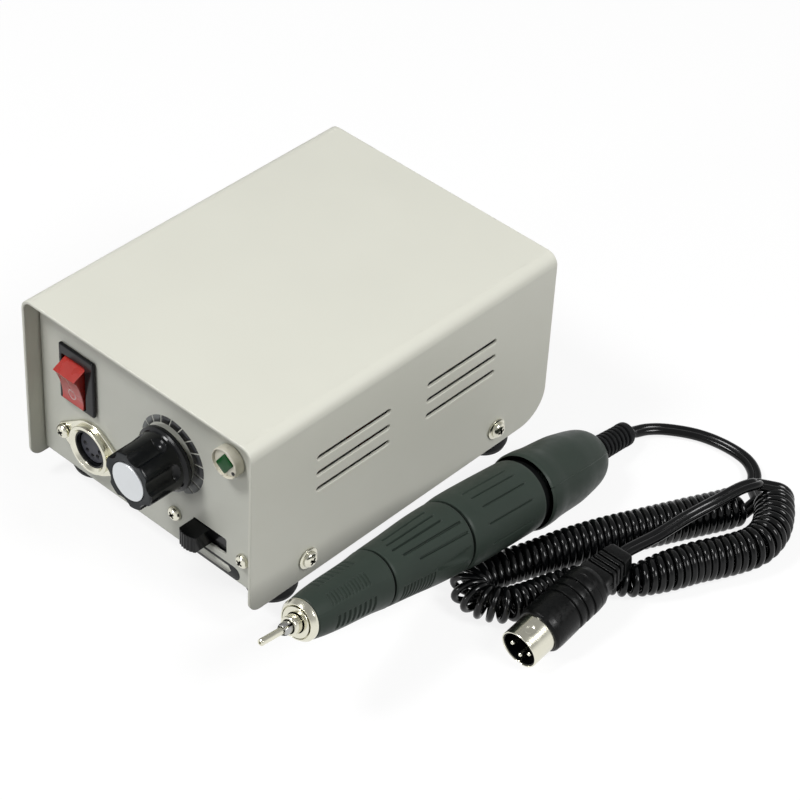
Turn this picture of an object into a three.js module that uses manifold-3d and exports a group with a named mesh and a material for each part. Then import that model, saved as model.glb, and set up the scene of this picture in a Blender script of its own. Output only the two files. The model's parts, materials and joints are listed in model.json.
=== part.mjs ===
// Dental laboratory micromotor: a sheet-metal control box, a straight handpiece with its chuck and
// motor, and the curly cord between them, which ends in a round multi-pin plug.
// Millimetres, +Z up. The frame's origin is under the middle of the rigid pieces, on the table.
import * as THREE from 'three';
import { mergeVertices } from 'three/addons/utils/BufferGeometryUtils.js';
import Module from 'manifold-3d';

const wasm = await Module();
wasm.setup();

// Clearances
const fit = 0.3;                  // between pieces that seat on each other
const overrun = 2;                // how far a cutter runs past the wall that it cuts

// Control box: a cover bent from one sheet over a chassis bent from another
const boxWidth = 105;
const boxDepth = 141.6;
const boxHeight = 77;
const sheet = 1.2;
const coverBend = 4.5;            // outside radius of the two long bends
const coverLift = 8.65;           // table to the cover's lower edges
const coverFrontCorner = 5;
const coverRearCorner = 12;
const chassisBend = 2;
const chassisLip = 9;
const panelRecess = 6.2;          // front panel behind the cover's front edge
const rearRecess = 3;
const flangeHeight = 15;

const ventRows = 3;
const ventColumns = 2;
const ventLength = 33.3;
const ventHeight = 2;
const ventPitch = 6.6;
const ventGap = 17.3;             // between the two columns of vents
const ventDrop = 20;              // box top to the upper row

const coverScrewInset = 25.6;     // from the cover's front and rear edges
const coverScrewRise = 7.15;      // above the chassis floor's underside
const coverScrewShank = 1.45;
const coverScrewHead = 2.9;
const coverScrewHeadHeight = 1.9;
const coverScrewLength = 5.5;
const washerRadius = 3.9;
const washerThickness = 0.6;

const footRadius = 8.76;
const footHeight = 9.55;
const footSideInset = 11;
const footFrontInset = 20.7;
const footRearInset = 18.5;
const footStud = 2.2;
const footBarb = 3.2;
const footBarbHeight = 1.5;

// Power rocker
const rockerX = -33.6;
const rockerGapShare = 0.208;      // of the height left free above the socket
const rockerWidth = 10.1;
const rockerEndRadius = 8.6;      // about its pivot
const rockerRidgeReach = 7.1;
const rockerRidgeHeight = 7.43;
const rockerHollowHeight = 6.3;
const rockerHeel = 3.4;           // the rocker's underside below its pivot
const rockerPivotDepth = 3;       // pivot behind the panel face
const rockerTilt = 15;            // degrees each way
const rockerPin = 1.2;
const rockerPinReach = 0.45;
const bezelWidth = 16.2;
const bezelHeight = 22.7;
const bezelProud = 1.7;
const bezelChamfer = 0.6;
const bezelShiftX = 1.3;          // the bezel is wider beside and above the rocker
const bezelShiftZ = 1.45;
const housingWall = 0.6;
const housingDepth = 13.5;
const housingPocketDepth = 11.5;
const tabWidth = 4.8;
const tabThickness = 0.8;
const tabLength = 7;
const tabPitch = 6.5;

// Handpiece socket
const socketX = -26.3;
const socketZ = 26.1;
const flangeRadius = 10.4;
const flangeThickness = 1.2;
const earRadius = 3;
const earReach = 12.9;
const socketRingRadius = 9;
const socketRingProud = 1.8;
const socketMouth = 7.9;
const socketBore = 6.9;
const socketChamferDepth = 1;
const socketBarrel = 8.1;
const socketBarrelDepth = 9;
const insertThickness = 7;
const insertRecess = 1.6;         // insert's face behind the ring's face
const contactHole = 0.9;
const contactCircle = 3.6;
const contactCount = 5;
const keyWidth = 2.2;
const keyDepth = 1.1;

// Small panel screws
const panelScrewShank = 1.25;
const panelScrewHead = 2.6;
const panelScrewHeadHeight = 1.9;
const panelScrewLength = 6;

const socketTop = socketZ + flangeRadius;
const rockerZ = socketTop + rockerGapShare * (boxHeight - socketTop - bezelHeight)
  + bezelHeight / 2 - bezelShiftZ;

// Speed control
const dialX = 11;
const dialZ = 46.8;
const potRadius = 12;
const potDepth = 11;
const bushingRadius = 4.5;
const bushingProud = 3.9;
const shaftRadius = 3;
const shaftProud = 15;
const shaftInset = 8;
const nutWasherRadius = 8;
const nutWasherThickness = 0.8;
const nutRadius = 6.3;
const nutThickness = 2;
const knobSkirtRadius = 10.7;
const knobSkirtHeight = 2.2;
const knobWaistRadius = 9.9;
const knobFrontRadius = 9.2;
const knobHeight = 17.6;          // skirt back to face
const knobFluteDepth = 1.15;
const knobFlutes = 8;
const knobTurn = 20;              // degrees, at its stop
const knobEdge = 0.4;
const knobRecessRadius = 7.5;
const knobRecessDepth = 3;
const knobCapRadius = 7.06;
const knobCapThickness = 1;

// Pilot lamp
const lampX = 38;
const lampZ = boxHeight - 15;
const lampRadius = 5.45;
const lampProud = 3.7;
const lampMouth = 4.5;
const lampBarrel = 3.6;
const lampBarrelBore = 2.6;
const lampBarrelDepth = 12;
const lampSeatDepth = 2.4;
const lensRadius = 4.1;
const lensProud = 1.3;
const lensStem = 2.3;
const lensStemLength = 8;

// Direction slide switch
const switchX = 27.8;
const switchZ = 22.4;
const switchScrewPitch = 31;
const windowWidth = 15.1;
const windowHeight = 6.9;
const windowCorner = 0.8;
const leverWidth = 7.5;
const leverProud = 6.5;
const leverCrown = 1.1;
const leverRibs = 5;
const slidePlateLength = 20.5;
const slidePlateMargin = 0.5;
const slidePlateThickness = 1.2;
const switchFrameHeight = 10.6;
const switchFrameThickness = 1.8;
const switchFrameEnd = 4.2;       // frame past each screw
const switchBodyLength = 27;
const switchBodyDepth = 9;

// Inside the box
const coreWidth = 48;
const coreHeight = 40;
const coreStack = 24;
const coreLeg = 8;
const windingProud = 7;           // winding past the stack on each side
const transformerX = 15;
const transformerY = 22;
const boardWidth = 32;
const boardLength = 62;
const boardThickness = 1.6;
const boardRise = 6;
const boardMargin = 3;            // board to the cover side
const boardY = 16;
const standoffRadius = 2.5;
const standoffInset = 4;
const heatSinkLength = 26;
const heatSinkWidth = 10;
const heatSinkHeight = 22;
const heatSinkFins = 4;
const finThickness = 1.2;
const capacitorRadius = 5;
const capacitorHeight = 16;
const relayLength = 18;
const relayWidth = 14;
const relayHeight = 14;

// Rear panel
const glandX = -36;
const glandZ = 24;
const glandFlange = 6;
const glandBody = 4.6;
const glandBore = 3.2;
const glandProud = 5;
const glandDepth = 7;
const fuseX = 30;
const fuseZ = boxHeight - 17;
const fuseFlange = 6.5;
const fuseBody = 5;
const fuseDepth = 26;
const fuseCap = 5.2;
const fuseProud = 7;
const jackX = -12;
const jackZ = 24;
const jackFlange = 6.2;
const jackBody = 4.8;
const jackBore = 3.2;
const jackProud = 3.2;
const jackDepth = 9;
const rearFlangeThickness = 1.6;

// Handpiece, along its axis from the nose ring to the strain relief
const handpieceNose = new THREE.Vector3(86.2, -82.6, 39.45);
const handpieceTilt = 11.5;       // degrees, nose up, its rear cap on the table
const handpieceYaw = -3.1;        // degrees
const noseRadius = 7;
const noseRingFront = 5.9;
const noseRingLength = 2.5;
const noseDiscRadius = 5.33;
const noseDiscThickness = 0.3;
const hubRadius = 3.2;
const hubLength = 3;
const coneLength = 33;
const coneRearRadius = 9.95;
const coneRibs = 7;
const coneRibDepth = 0.3;
const conePatches = 4;
const sleeveLength = 36.9;
const sleeveRearRadius = 12.3;
const sleeveGrooves = 12;
const sleeveGrooveDepth = 0.5;
const motorRadius = 13;
const motorLength = 37.7;
const motorWall = 1.2;
const capGroove = 2.9;
const capGrooveRadius = 11.6;
const capRadius = 13.63;
const capLength = 41.8;
const capWall = 3;
const reliefRadius = 4.6;
const reliefEndRadius = 3.5;
const reliefLength = 17.2;
const reliefRibs = 5;
const reliefNeck = 3.3;
const reliefHead = 5;
const reliefHeadLength = 3;
const neckRadius = 8;
const noseThreadRadius = 6.5;
const noseThreadLength = 12.7;
const boreRadius = 4.6;
const spindleRadius = 3;
const spindleBore = 2.4;
const spindleLength = 68;
const colletRadius = 2.1;
const colletProud = 3.2;          // past the hub
const colletLength = 29.3;
const colletSlit = 0.5;
const mandrelRadius = 1.175;
const mandrelProud = 9.7;         // past the collet
const mandrelLength = 31;
const bearingRadius = 6.2;
const bearingWidth = 6;
const frontBearingAt = 4;
const springWire = 0.5;
const springTurns = 5;
const springAt = 24;
const springPitch = 2;
const couplingRadius = 4.2;
const couplingLength = 13;
const couplingOverlap = 3;
const rotorShaft = 2;
const rotorRadius = 8;
const rotorLength = motorLength - 12.7;
const rotorPoles = 3;
const rotorSlot = 1.6;
const rotorGap = 0.4;
const magnetAt = 5;               // behind the front of the motor housing
const commutatorRadius = 4;
const commutatorLength = 5;
const brushWidth = 3;
const brushThickness = 4;
const rearBearingWidth = 5;
const rearBearingAt = 3.5;        // behind the front of the rear cap

// Plug on the far end of the cord
const plugFace = new THREE.Vector3(121.2, -20, 7.2);
const plugTilt = 7.5;             // degrees, boot up
const plugYaw = -0.8;             // degrees
const plugShellRadius = 6.6;
const plugShellWall = 0.6;
const plugShellLength = 9.4;
const plugShellSeat = 4;
const plugRadius = 8.2;
const plugLength = 28.6;
const plugNeckWidth = 10;
const plugNeckHeight = 7;
const bootWidth = 7;
const bootHeight = 6;
const bootLength = 16;
const bootRibs = 4;
const plugInsertLength = 10;
const plugInsertRecess = 6;
const pinRadius = 0.72;
const pinLength = 12;
const pinCircle = 3.5;
const pinCount = 3;

// Cord: a straight lead at each end and the curls between them
const leadRadius = 1.9;
const curlRadius = 1.35;
const curlGap = 0.6;              // between neighbouring curls
const curlSteps = 8;
const curlSides = 5;
const leadSides = 8;
const bendLimit = 0.2;            // share of the pitch left on the inside of the tightest bend
const bendEase = 1.12;            // how much more the pitch widens than the bend asks for
const curlLift = 0.25;            // the curls' lowest point above the table
const curlEntry = 1.5;            // turns over which the curls open at the handpiece end

// Outlines as shares of the lengths and radii that they follow
const coneShares = [[0, 0], [0.19, 0.305], [0.41, 0.508], [0.565, 0.6], [0.79, 0.746], [1, 1]];
const coneRibShares = [0.2, 0.76];
const sleeveShares = [
  [0, 0], [0.06, 0.08], [0.29, 0.336], [0.573, 0.71], [0.717, 0.872], [0.97, 1], [1, 0.97],
];
const sleeveGrooveShares = [0.06, 0.573];
const motorShares = [[0, 0.955], [0.03, 0.965], [0.14, 0.992], [0.35, 1], [0.97, 0.982], [1, 0.97]];
const capShares = [
  [0, 0.98], [0.015, 1], [0.1, 0.996], [0.237, 0.957], [0.514, 0.922], [0.653, 0.866], [0.797, 0.785],
  [0.868, 0.712], [0.94, 0.572],
];
const plugShares = [[0, 0.94], [0.03, 1], [0.78, 1], [0.87, 0.97], [0.95, 0.88], [1, 0.76]];
const plugGrooveShares = [0.36, 0.5, 0.64];
const plugGrooveWidthShare = 0.035;
const plugGrooveDepthShare = 0.06;

// Routes on the table, chosen by hand: the lead from the handpiece, the curls' axis with the curls'
// width and height at each point, and the lead that climbs over the curls to the plug
const firstLeadRoute = [
  [77.3, 90.3, 3.4], [79.3, 95.6, 2.7], [83.4, 100.6, 2.3], [93.3, 106.7, 2.2], [103.8, 109.1, 2.2],
  [113.4, 108.4, 2.2], [119.3, 104.8, 2.2], [123.4, 99, 2.2],
];
const curlRoute = [
  [128.8, 89.2, 13.4, 13.4], [127.2, 80.5, 13.6, 13.8], [120.6, 66.6, 13.6, 14], [113.6, 52.4, 13.6, 14],
  [106.8, 38.4, 13.6, 14], [100.9, 25.6, 13.2, 13.2], [96.4, 15, 12.4, 12], [92.6, 6, 12.4, 10.4],
  [91, -1.6, 12.4, 10], [93.2, -7, 11.8, 11], [98.6, -9.6, 10.6, 12], [104.2, -7.2, 11.2, 12],
  [106.8, -0.6, 11, 11.2], [107.6, 7, 9.6, 9.6], [109, 14.2, 8.6, 8.6], [112.6, 21.6, 8.6, 8.6],
  [118.6, 26, 8.6, 8.4], [125, 31, 11, 10], [131, 40.8, 13.2, 13.4], [135.6, 51.4, 13.6, 14],
  [140.9, 61.6, 13.6, 14], [144.4, 71.4, 13.6, 14], [143.6, 80.4, 13.6, 14], [139.8, 88, 13.6, 14],
  [135.2, 93.8, 13.6, 14],
];
const secondLeadRoute = [
  [130.9, 88, 15.8], [129.3, 82, 16.6], [127, 70.5, 15.9], [124.3, 59.2, 14.6], [122.4, 46.5, 13.6],
];

// Finishes
const finish = (color, roughness, metalness) =>
  new THREE.MeshStandardMaterial({ color, roughness, metalness });
const creamEnamel = finish(0xdcdccf, 0.55, 0.1);
const greyEnamel = finish(0xb5b8ad, 0.55, 0.1);
const blackRubber = finish(0x232524, 0.8, 0);
const blackPlastic = finish(0x26292d, 0.45, 0);
const greyPlastic = finish(0x4a4d52, 0.5, 0);
const redPlastic = finish(0xc8463c, 0.4, 0);
const greenLens = finish(0x1e6e3c, 0.15, 0);
const whitePlastic = finish(0xe8e6dc, 0.4, 0);
const nickel = finish(0xd8d6cc, 0.25, 1);
const steel = finish(0x9a9c9c, 0.35, 1);
const spunAluminium = finish(0xdadddf, 0.3, 1);
const handpieceCoat = finish(0x3c4844, 0.5, 0.3);
const laminations = finish(0x5b5f63, 0.6, 0.7);
const copper = finish(0xb4623a, 0.4, 0.9);
const circuitGreen = finish(0x2f6b45, 0.6, 0);
const ferrite = finish(0x3a3b3d, 0.8, 0.1);
const carbon = finish(0x1f2022, 0.9, 0);
const blackVinyl = finish(0x17191b, 0.35, 0);

// Geometry helpers

// Keeps only positions, joins shared vertices, drops empty triangles and faces the rest out.
function weld(source) {
  const bare = source.clone();
  bare.deleteAttribute('normal');
  bare.deleteAttribute('uv');
  const merged = mergeVertices(bare, 1e-4);
  const index = merged.index.array;
  const position = merged.attributes.position;
  const faces = [];
  let volume = 0;
  const corner = [new THREE.Vector3(), new THREE.Vector3(), new THREE.Vector3()];
  for (let i = 0; i < index.length; i += 3) {
    const [a, b, c] = [index[i], index[i + 1], index[i + 2]];
    if (a === b || b === c || c === a) continue;
    faces.push(a, b, c);
    corner[0].fromBufferAttribute(position, a);
    corner[1].fromBufferAttribute(position, b);
    corner[2].fromBufferAttribute(position, c);
    volume += corner[0].dot(corner[1].cross(corner[2]));
  }
  if (volume < 0) faces.reverse();
  merged.setIndex(faces);
  return merged;
}

function solid(geometry) {
  const welded = weld(geometry);
  const vertProperties = new Float32Array(welded.attributes.position.array);
  const triVerts = new Uint32Array(welded.index.array);
  return new wasm.Manifold(new wasm.Mesh({ numProp: 3, vertProperties, triVerts }));
}

function geometryOf(body) {
  const mesh = body.getMesh();
  const geometry = new THREE.BufferGeometry();
  geometry.setAttribute('position', new THREE.BufferAttribute(new Float32Array(mesh.vertProperties), 3));
  geometry.setIndex(new THREE.BufferAttribute(new Uint32Array(mesh.triVerts), 1));
  return geometry;
}

const cut = (body, cutters) => cutters.reduce((rest, cutter) => rest.subtract(cutter), body);
const join = (bodies) => bodies.reduce((whole, body) => whole.add(body));

// A turned solid about +Z from a profile of [radius, height] points.
function turned(profile, segments) {
  const points = profile.map(([radius, height]) => new THREE.Vector2(radius, height));
  return weld(new THREE.LatheGeometry(points, segments).rotateX(Math.PI / 2));
}

const rod = (radius, from, to, segments) =>
  turned([[0, from], [radius, from], [radius, to], [0, to]], segments);

const pipe = (outer, inner, from, to, segments) =>
  turned([[inner, from], [outer, from], [outer, to], [inner, to], [inner, from]], segments);

// A flat outline given depth along +Z.
function slab(shape, depth, curveSegments = 3) {
  return weld(new THREE.ExtrudeGeometry(shape, { depth, bevelEnabled: false, curveSegments }));
}

// A profile drawn in the Y and Z plane, given width along X about the middle.
function across(shape, width) {
  const turn = new THREE.Matrix4().makeBasis(
    new THREE.Vector3(0, 1, 0), new THREE.Vector3(0, 0, 1), new THREE.Vector3(1, 0, 0));
  return slab(shape, width).translate(0, 0, -width / 2).applyMatrix4(turn);
}

const block = (width, depth, height, x = 0, y = 0, z = 0) =>
  new THREE.BoxGeometry(width, depth, height).translate(x, y, z);

function roundedOutline(width, height, radius, steps = 3) {
  const points = [];
  const corners = [[1, 1, 0], [-1, 1, 1], [-1, -1, 2], [1, -1, 3]];
  for (const [signX, signY, quarter] of corners) {
    for (let i = 0; i <= steps; i++) {
      const angle = (quarter + i / steps) * Math.PI / 2;
      points.push(new THREE.Vector2(
        signX * (width / 2 - radius) + radius * Math.cos(angle),
        signY * (height / 2 - radius) + radius * Math.sin(angle)));
    }
  }
  return points;
}

const raised = (outline, height) => outline.map((point) => new THREE.Vector3(point.x, point.y, height));

// A skin through rings of equal count, closed by a fan at each end.
function loft(rings) {
  const count = rings[0].length;
  const points = rings.flat();
  const faces = [];
  for (let k = 0; k + 1 < rings.length; k++) {
    for (let i = 0; i < count; i++) {
      const a = k * count + i;
      const b = k * count + (i + 1) % count;
      faces.push(a, b, b + count, a, b + count, a + count);
    }
  }
  for (const [k, turn] of [[0, 1], [rings.length - 1, 0]]) {
    const middle = new THREE.Vector3();
    rings[k].forEach((point) => middle.addScaledVector(point, 1 / count));
    const hub = points.push(middle) - 1;
    for (let i = 0; i < count; i++) {
      const a = k * count + i;
      const b = k * count + (i + 1) % count;
      faces.push(hub, turn ? b : a, turn ? a : b);
    }
  }
  const geometry = new THREE.BufferGeometry().setFromPoints(points);
  geometry.setIndex(faces);
  return weld(geometry);
}

// A ring about +Z whose radius follows the angle.
function polarRing(count, height, radiusAt) {
  const ring = [];
  for (let i = 0; i < count; i++) {
    const angle = 2 * Math.PI * i / count;
    const radius = radiusAt(angle);
    ring.push(new THREE.Vector3(radius * Math.cos(angle), radius * Math.sin(angle), height));
  }
  return ring;
}

// A sheet strip that follows its outer face through equal bends, its thickness on the right.
function bentSheet(path, thickness, bend, steps = 3) {
  const outer = [];
  const inner = [];
  path.forEach(([x, y], i) => {
    const point = new THREE.Vector2(x, y);
    const before = i > 0 ? point.clone().sub(new THREE.Vector2(...path[i - 1])).normalize() : null;
    const after = i + 1 < path.length ? new THREE.Vector2(...path[i + 1]).sub(point).normalize() : null;
    if (!before || !after) {
      const along = before || after;
      const right = new THREE.Vector2(along.y, -along.x);
      outer.push(point);
      inner.push(point.clone().addScaledVector(right, thickness));
      return;
    }
    const centre = point.clone().addScaledVector(before, -bend).addScaledVector(after, bend);
    for (let k = 0; k <= steps; k++) {
      const turn = k / steps * Math.PI / 2;
      const out = after.clone().multiplyScalar(-Math.cos(turn)).addScaledVector(before, Math.sin(turn));
      outer.push(centre.clone().addScaledVector(out, bend));
      inner.push(centre.clone().addScaledVector(out, bend - thickness));
    }
  });
  return new THREE.Shape([...outer, ...inner.reverse()]);
}

// Values between the points of a table of shares.
function shareAt(table, share) {
  for (let i = 0; i + 1 < table.length; i++) {
    const [from, low] = table[i];
    const [to, high] = table[i + 1];
    if (share <= to) return low + (high - low) * (share - from) / (to - from);
  }
  return table[table.length - 1][1];
}

function piece(parent, name, geometry, material, x = 0, y = 0, z = 0) {
  const mesh = new THREE.Mesh(geometry, material);
  mesh.name = name;
  mesh.position.set(x, y, z);
  parent.add(mesh);
  return mesh;
}

// Frames of the four walls: X along the wall, Y up, Z out of it
const frontFace = -boxDepth / 2 + panelRecess;
const rearFace = boxDepth / 2 - rearRecess;
const chassisUnderside = footHeight + fit;
const chassisFloor = chassisUnderside + sheet;
const chassisTop = boxHeight - sheet - fit;
const chassisWidth = boxWidth - 2 * (sheet + fit);

const product = new THREE.Group();

function wallFrame(turn, x, y) {
  const frame = new THREE.Group();
  frame.rotation.order = 'ZXY';
  frame.rotation.set(Math.PI / 2, 0, turn);
  frame.position.set(x, y, 0);
  frame.updateMatrix();
  product.add(frame);
  return frame;
}

const frontWall = wallFrame(0, 0, frontFace);
const rearWall = wallFrame(Math.PI, 0, rearFace);
const rightWall = wallFrame(Math.PI / 2, boxWidth / 2, 0);
const leftWall = wallFrame(-Math.PI / 2, -boxWidth / 2, 0);

const inWall = (wall, geometry) => solid(geometry.applyMatrix4(wall.matrix));

function drill(wall, radius, x, z, depth, segments = 12) {
  return inWall(wall, rod(radius, -depth, overrun, segments).translate(x, z, 0));
}

function wallWindow(wall, outline, x, z, depth) {
  const cutter = slab(new THREE.Shape(outline), depth + overrun).translate(x, z, -depth);
  return inWall(wall, cutter);
}

// Places that the cover, the chassis and the fasteners share
const coverScrewZ = chassisUnderside + coverScrewRise;
const coverScrewYs = [-boxDepth / 2 + coverScrewInset, boxDepth / 2 - coverScrewInset];
const footX = boxWidth / 2 - footSideInset;
const footYs = [-boxDepth / 2 + footFrontInset, boxDepth / 2 - footRearInset];
const switchScrewXs = [switchX - switchScrewPitch / 2, switchX + switchScrewPitch / 2];
const sideReach = sheet + fit + sheet + overrun;

function coverGeometry() {
  const half = boxWidth / 2;
  const path = [[-half, coverLift], [-half, boxHeight], [half, boxHeight], [half, coverLift]];
  const folded = slab(bentSheet(path, sheet, coverBend), boxDepth)
    .rotateX(Math.PI / 2).translate(0, boxDepth / 2, 0);
  const front = -boxDepth / 2;
  const rear = boxDepth / 2;
  const side = new THREE.Shape();
  side.moveTo(front, boxHeight + overrun);
  side.lineTo(front, coverLift + coverFrontCorner);
  side.absarc(front + coverFrontCorner, coverLift + coverFrontCorner, coverFrontCorner,
    Math.PI, 1.5 * Math.PI, false);
  side.lineTo(rear - coverRearCorner, coverLift);
  side.absarc(rear - coverRearCorner, coverLift + coverRearCorner, coverRearCorner,
    -Math.PI / 2, 0, false);
  side.lineTo(rear, boxHeight + overrun);
  const cutters = [];
  const vent = roundedOutline(ventLength, ventHeight, ventHeight / 2, 2);
  for (const wall of [leftWall, rightWall]) {
    for (let row = 0; row < ventRows; row++) {
      for (let column = 0; column < ventColumns; column++) {
        const along = (column - (ventColumns - 1) / 2) * (ventLength + ventGap);
        const up = boxHeight - ventDrop - row * ventPitch;
        cutters.push(wallWindow(wall, vent, along, up, sheet + fit));
      }
    }
  }
  for (const y of coverScrewYs) {
    cutters.push(drill(rightWall, coverScrewShank + fit, y, coverScrewZ, sheet + fit, 8));
    cutters.push(drill(leftWall, coverScrewShank + fit, -y, coverScrewZ, sheet + fit, 8));
  }
  const trimmed = solid(folded).intersect(solid(across(side, boxWidth + overrun)));
  return geometryOf(cut(trimmed, cutters));
}

// Sizes that a piece and its hole in the panel share
const rockerPocketWidth = rockerWidth + fit + rockerPinReach / 2;
const rockerPocketHeight = 2 * (rockerEndRadius + fit);
const housingWidth = rockerPocketWidth + 2 * housingWall;
const housingHeight = rockerPocketHeight + 2 * housingWall;

function chassisGeometry() {
  const lipFront = frontFace + chassisLip;
  const lipRear = rearFace - chassisLip;
  const path = [
    [lipRear, chassisTop], [rearFace, chassisTop], [rearFace, chassisUnderside],
    [frontFace, chassisUnderside], [frontFace, chassisTop], [lipFront, chassisTop],
  ];
  const folded = solid(across(bentSheet(path, sheet, chassisBend), chassisWidth));
  const flangeLength = rearFace - frontFace - 2 * chassisBend;
  const flanges = [-1, 1].map((side) => solid(block(
    sheet, flangeLength, flangeHeight,
    side * (chassisWidth - sheet) / 2, (frontFace + rearFace) / 2, chassisUnderside + flangeHeight / 2)));
  const through = sheet + fit;
  const rockerHole = roundedOutline(housingWidth + fit, housingHeight + fit, fit, 1);
  const switchWindow = roundedOutline(windowWidth, windowHeight, windowCorner, 2);
  const cutters = [
    wallWindow(frontWall, rockerHole, rockerX, rockerZ, through),
    wallWindow(frontWall, switchWindow, switchX, switchZ, through),
    drill(frontWall, socketBarrel + fit, socketX, socketZ, through, 20),
    drill(frontWall, bushingRadius + fit, dialX, dialZ, through),
    drill(frontWall, lampBarrel + fit, lampX, lampZ, through),
    drill(rearWall, glandBody + fit, -glandX, glandZ, through),
    drill(rearWall, fuseBody + fit, -fuseX, fuseZ, through),
    drill(rearWall, jackBody + fit, -jackX, jackZ, through),
  ];
  for (const x of [socketX - earReach, socketX + earReach]) {
    cutters.push(drill(frontWall, panelScrewShank + fit, x, socketZ, through, 8));
  }
  for (const x of switchScrewXs) {
    cutters.push(drill(frontWall, panelScrewShank + fit, x, switchZ, through, 8));
  }
  for (const y of coverScrewYs) {
    cutters.push(drill(rightWall, coverScrewShank + fit, y, coverScrewZ, sideReach, 8));
    cutters.push(drill(leftWall, coverScrewShank + fit, -y, coverScrewZ, sideReach, 8));
  }
  for (const y of footYs) {
    for (const x of [-footX, footX]) {
      cutters.push(solid(rod(footStud + fit, chassisUnderside - overrun, chassisFloor + overrun, 8)
        .translate(x, y, 0)));
    }
  }
  const inner = roundedOutline(chassisWidth, 2 * chassisTop, coverBend - sheet - fit, 2);
  const envelope = slab(new THREE.Shape(inner), boxDepth)
    .rotateX(Math.PI / 2).translate(0, boxDepth / 2, 0);
  return geometryOf(cut(join([folded, ...flanges]).intersect(solid(envelope)), cutters));
}

// A pan-head screw about +Z, its seat at zero. A captive washer is turned with it when it has one.
function screwGeometry(shank, length, head, headHeight, washer = 0, washerHeight = 0) {
  const seat = washer > 0 ? [[washer, 0], [washer, washerHeight]] : [];
  return turned([
    [0, -length], [shank, -length], [shank, 0], ...seat,
    [head, washerHeight], [head, washerHeight + headHeight * 0.45],
    [head * 0.72, washerHeight + headHeight * 0.9], [0, washerHeight + headHeight],
  ], 8);
}

function footGeometry() {
  const top = footHeight + sheet + 2 * fit;
  return turned([
    [0, 0], [footRadius - fit, 0], [footRadius, 2 * fit], [footRadius, footHeight],
    [footStud, footHeight], [footStud, top], [footBarb, top], [footStud, top + footBarbHeight],
    [0, top + footBarbHeight],
  ], 14);
}

function addBox() {
  piece(product, 'cover', coverGeometry(), creamEnamel);
  piece(product, 'chassis', chassisGeometry(), greyEnamel);
  const places = ['front', 'rear'];
  places.forEach((place, i) => {
    piece(product, `foot_${place}_left`, footGeometry(), blackRubber, -footX, footYs[i], 0);
    piece(product, `foot_${place}_right`, footGeometry(), blackRubber, footX, footYs[i], 0);
    for (const [side, wall, turn] of [['left', leftWall, -1], ['right', rightWall, 1]]) {
      const screw = screwGeometry(coverScrewShank, coverScrewLength, coverScrewHead,
        coverScrewHeadHeight, washerRadius, washerThickness);
      piece(wall, `cover_screw_${place}_${side}`, screw, nickel, turn * coverScrewYs[i], coverScrewZ, fit);
    }
  });
}

// The bezel and the body behind it, open at the front for the rocker, with three blades at the back.
function rockerHousingGeometry() {
  const whole = roundedOutline(bezelWidth, bezelHeight, bezelChamfer, 2);
  const faceWidth = bezelWidth - 2 * bezelChamfer;
  const faceHeight = bezelHeight - 2 * bezelChamfer;
  const face = roundedOutline(faceWidth, faceHeight, bezelChamfer / 2, 2);
  const bezel = loft([
    raised(whole, fit), raised(whole, bezelProud - bezelChamfer), raised(face, bezelProud),
  ]).translate(bezelShiftX, bezelShiftZ, 0);
  const body = block(housingWidth, housingHeight, housingDepth + 2 * fit, 0, 0, -housingDepth / 2 + fit);
  const pocket = block(rockerPocketWidth, rockerPocketHeight, housingPocketDepth + 2 * overrun,
    0, 0, overrun - housingPocketDepth / 2);
  const pinHole = rod(rockerPin + fit, -housingWidth, housingWidth, 10)
    .rotateY(Math.PI / 2).translate(0, 0, -rockerPivotDepth);
  const tabs = [-1, 0, 1].map((step) => solid(block(tabWidth, tabThickness, tabLength,
    0, step * tabPitch, -housingDepth - tabLength / 2 + fit)));
  return geometryOf(cut(join([solid(bezel), solid(body), ...tabs]), [solid(pocket), solid(pinHole)]));
}

// The rocker about its pivot: two raised ends with a hollow face between them.
function rockerGeometry() {
  const outline = [];
  const steps = 8;
  const ridgeEnd = Math.sqrt(rockerEndRadius ** 2 - rockerHeel ** 2);
  outline.push([-rockerRidgeReach * 0.5, -rockerHeel * 1.25], [rockerRidgeReach * 0.5, -rockerHeel * 1.25]);
  outline.push([ridgeEnd * 0.9, -rockerHeel * 0.6], [rockerEndRadius, 0], [ridgeEnd, rockerHeel]);
  for (let i = 0; i <= steps; i++) {
    const share = 1 - 2 * i / steps;
    const rise = (rockerRidgeHeight - rockerHollowHeight) * Math.abs(share) ** 3;
    outline.push([rockerRidgeReach * share, rockerHollowHeight + rise]);
  }
  outline.push([-ridgeEnd, rockerHeel], [-rockerEndRadius, 0], [-ridgeEnd * 0.9, -rockerHeel * 0.6]);
  const shape = new THREE.Shape(outline.map(([along, up]) => new THREE.Vector2(along, up)));
  const pinEnd = rockerPocketWidth / 2 + rockerPinReach;
  const pin = rod(rockerPin, -pinEnd, pinEnd, 10).rotateY(Math.PI / 2);
  return geometryOf(solid(across(shape, rockerWidth)).add(solid(pin)));
}

function addPowerSwitch() {
  piece(frontWall, 'rocker_housing', rockerHousingGeometry(), blackPlastic, rockerX, rockerZ, 0);
  const rocker = piece(frontWall, 'power_rocker', rockerGeometry(), redPlastic,
    rockerX, rockerZ, -rockerPivotDepth);
  rocker.rotation.x = THREE.MathUtils.degToRad(rockerTilt);
}

// A round flange with an ear on each side, drawn as arcs that meet along common tangents.
function earedFlange() {
  const lean = Math.acos((flangeRadius - earRadius) / earReach);
  const shape = new THREE.Shape();
  shape.absarc(0, 0, flangeRadius, lean, Math.PI - lean, false);
  shape.absarc(-earReach, 0, earRadius, Math.PI - lean, Math.PI + lean, false);
  shape.absarc(0, 0, flangeRadius, Math.PI + lean, 2 * Math.PI - lean, false);
  shape.absarc(earReach, 0, earRadius, -lean, lean, false);
  return shape;
}

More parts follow.
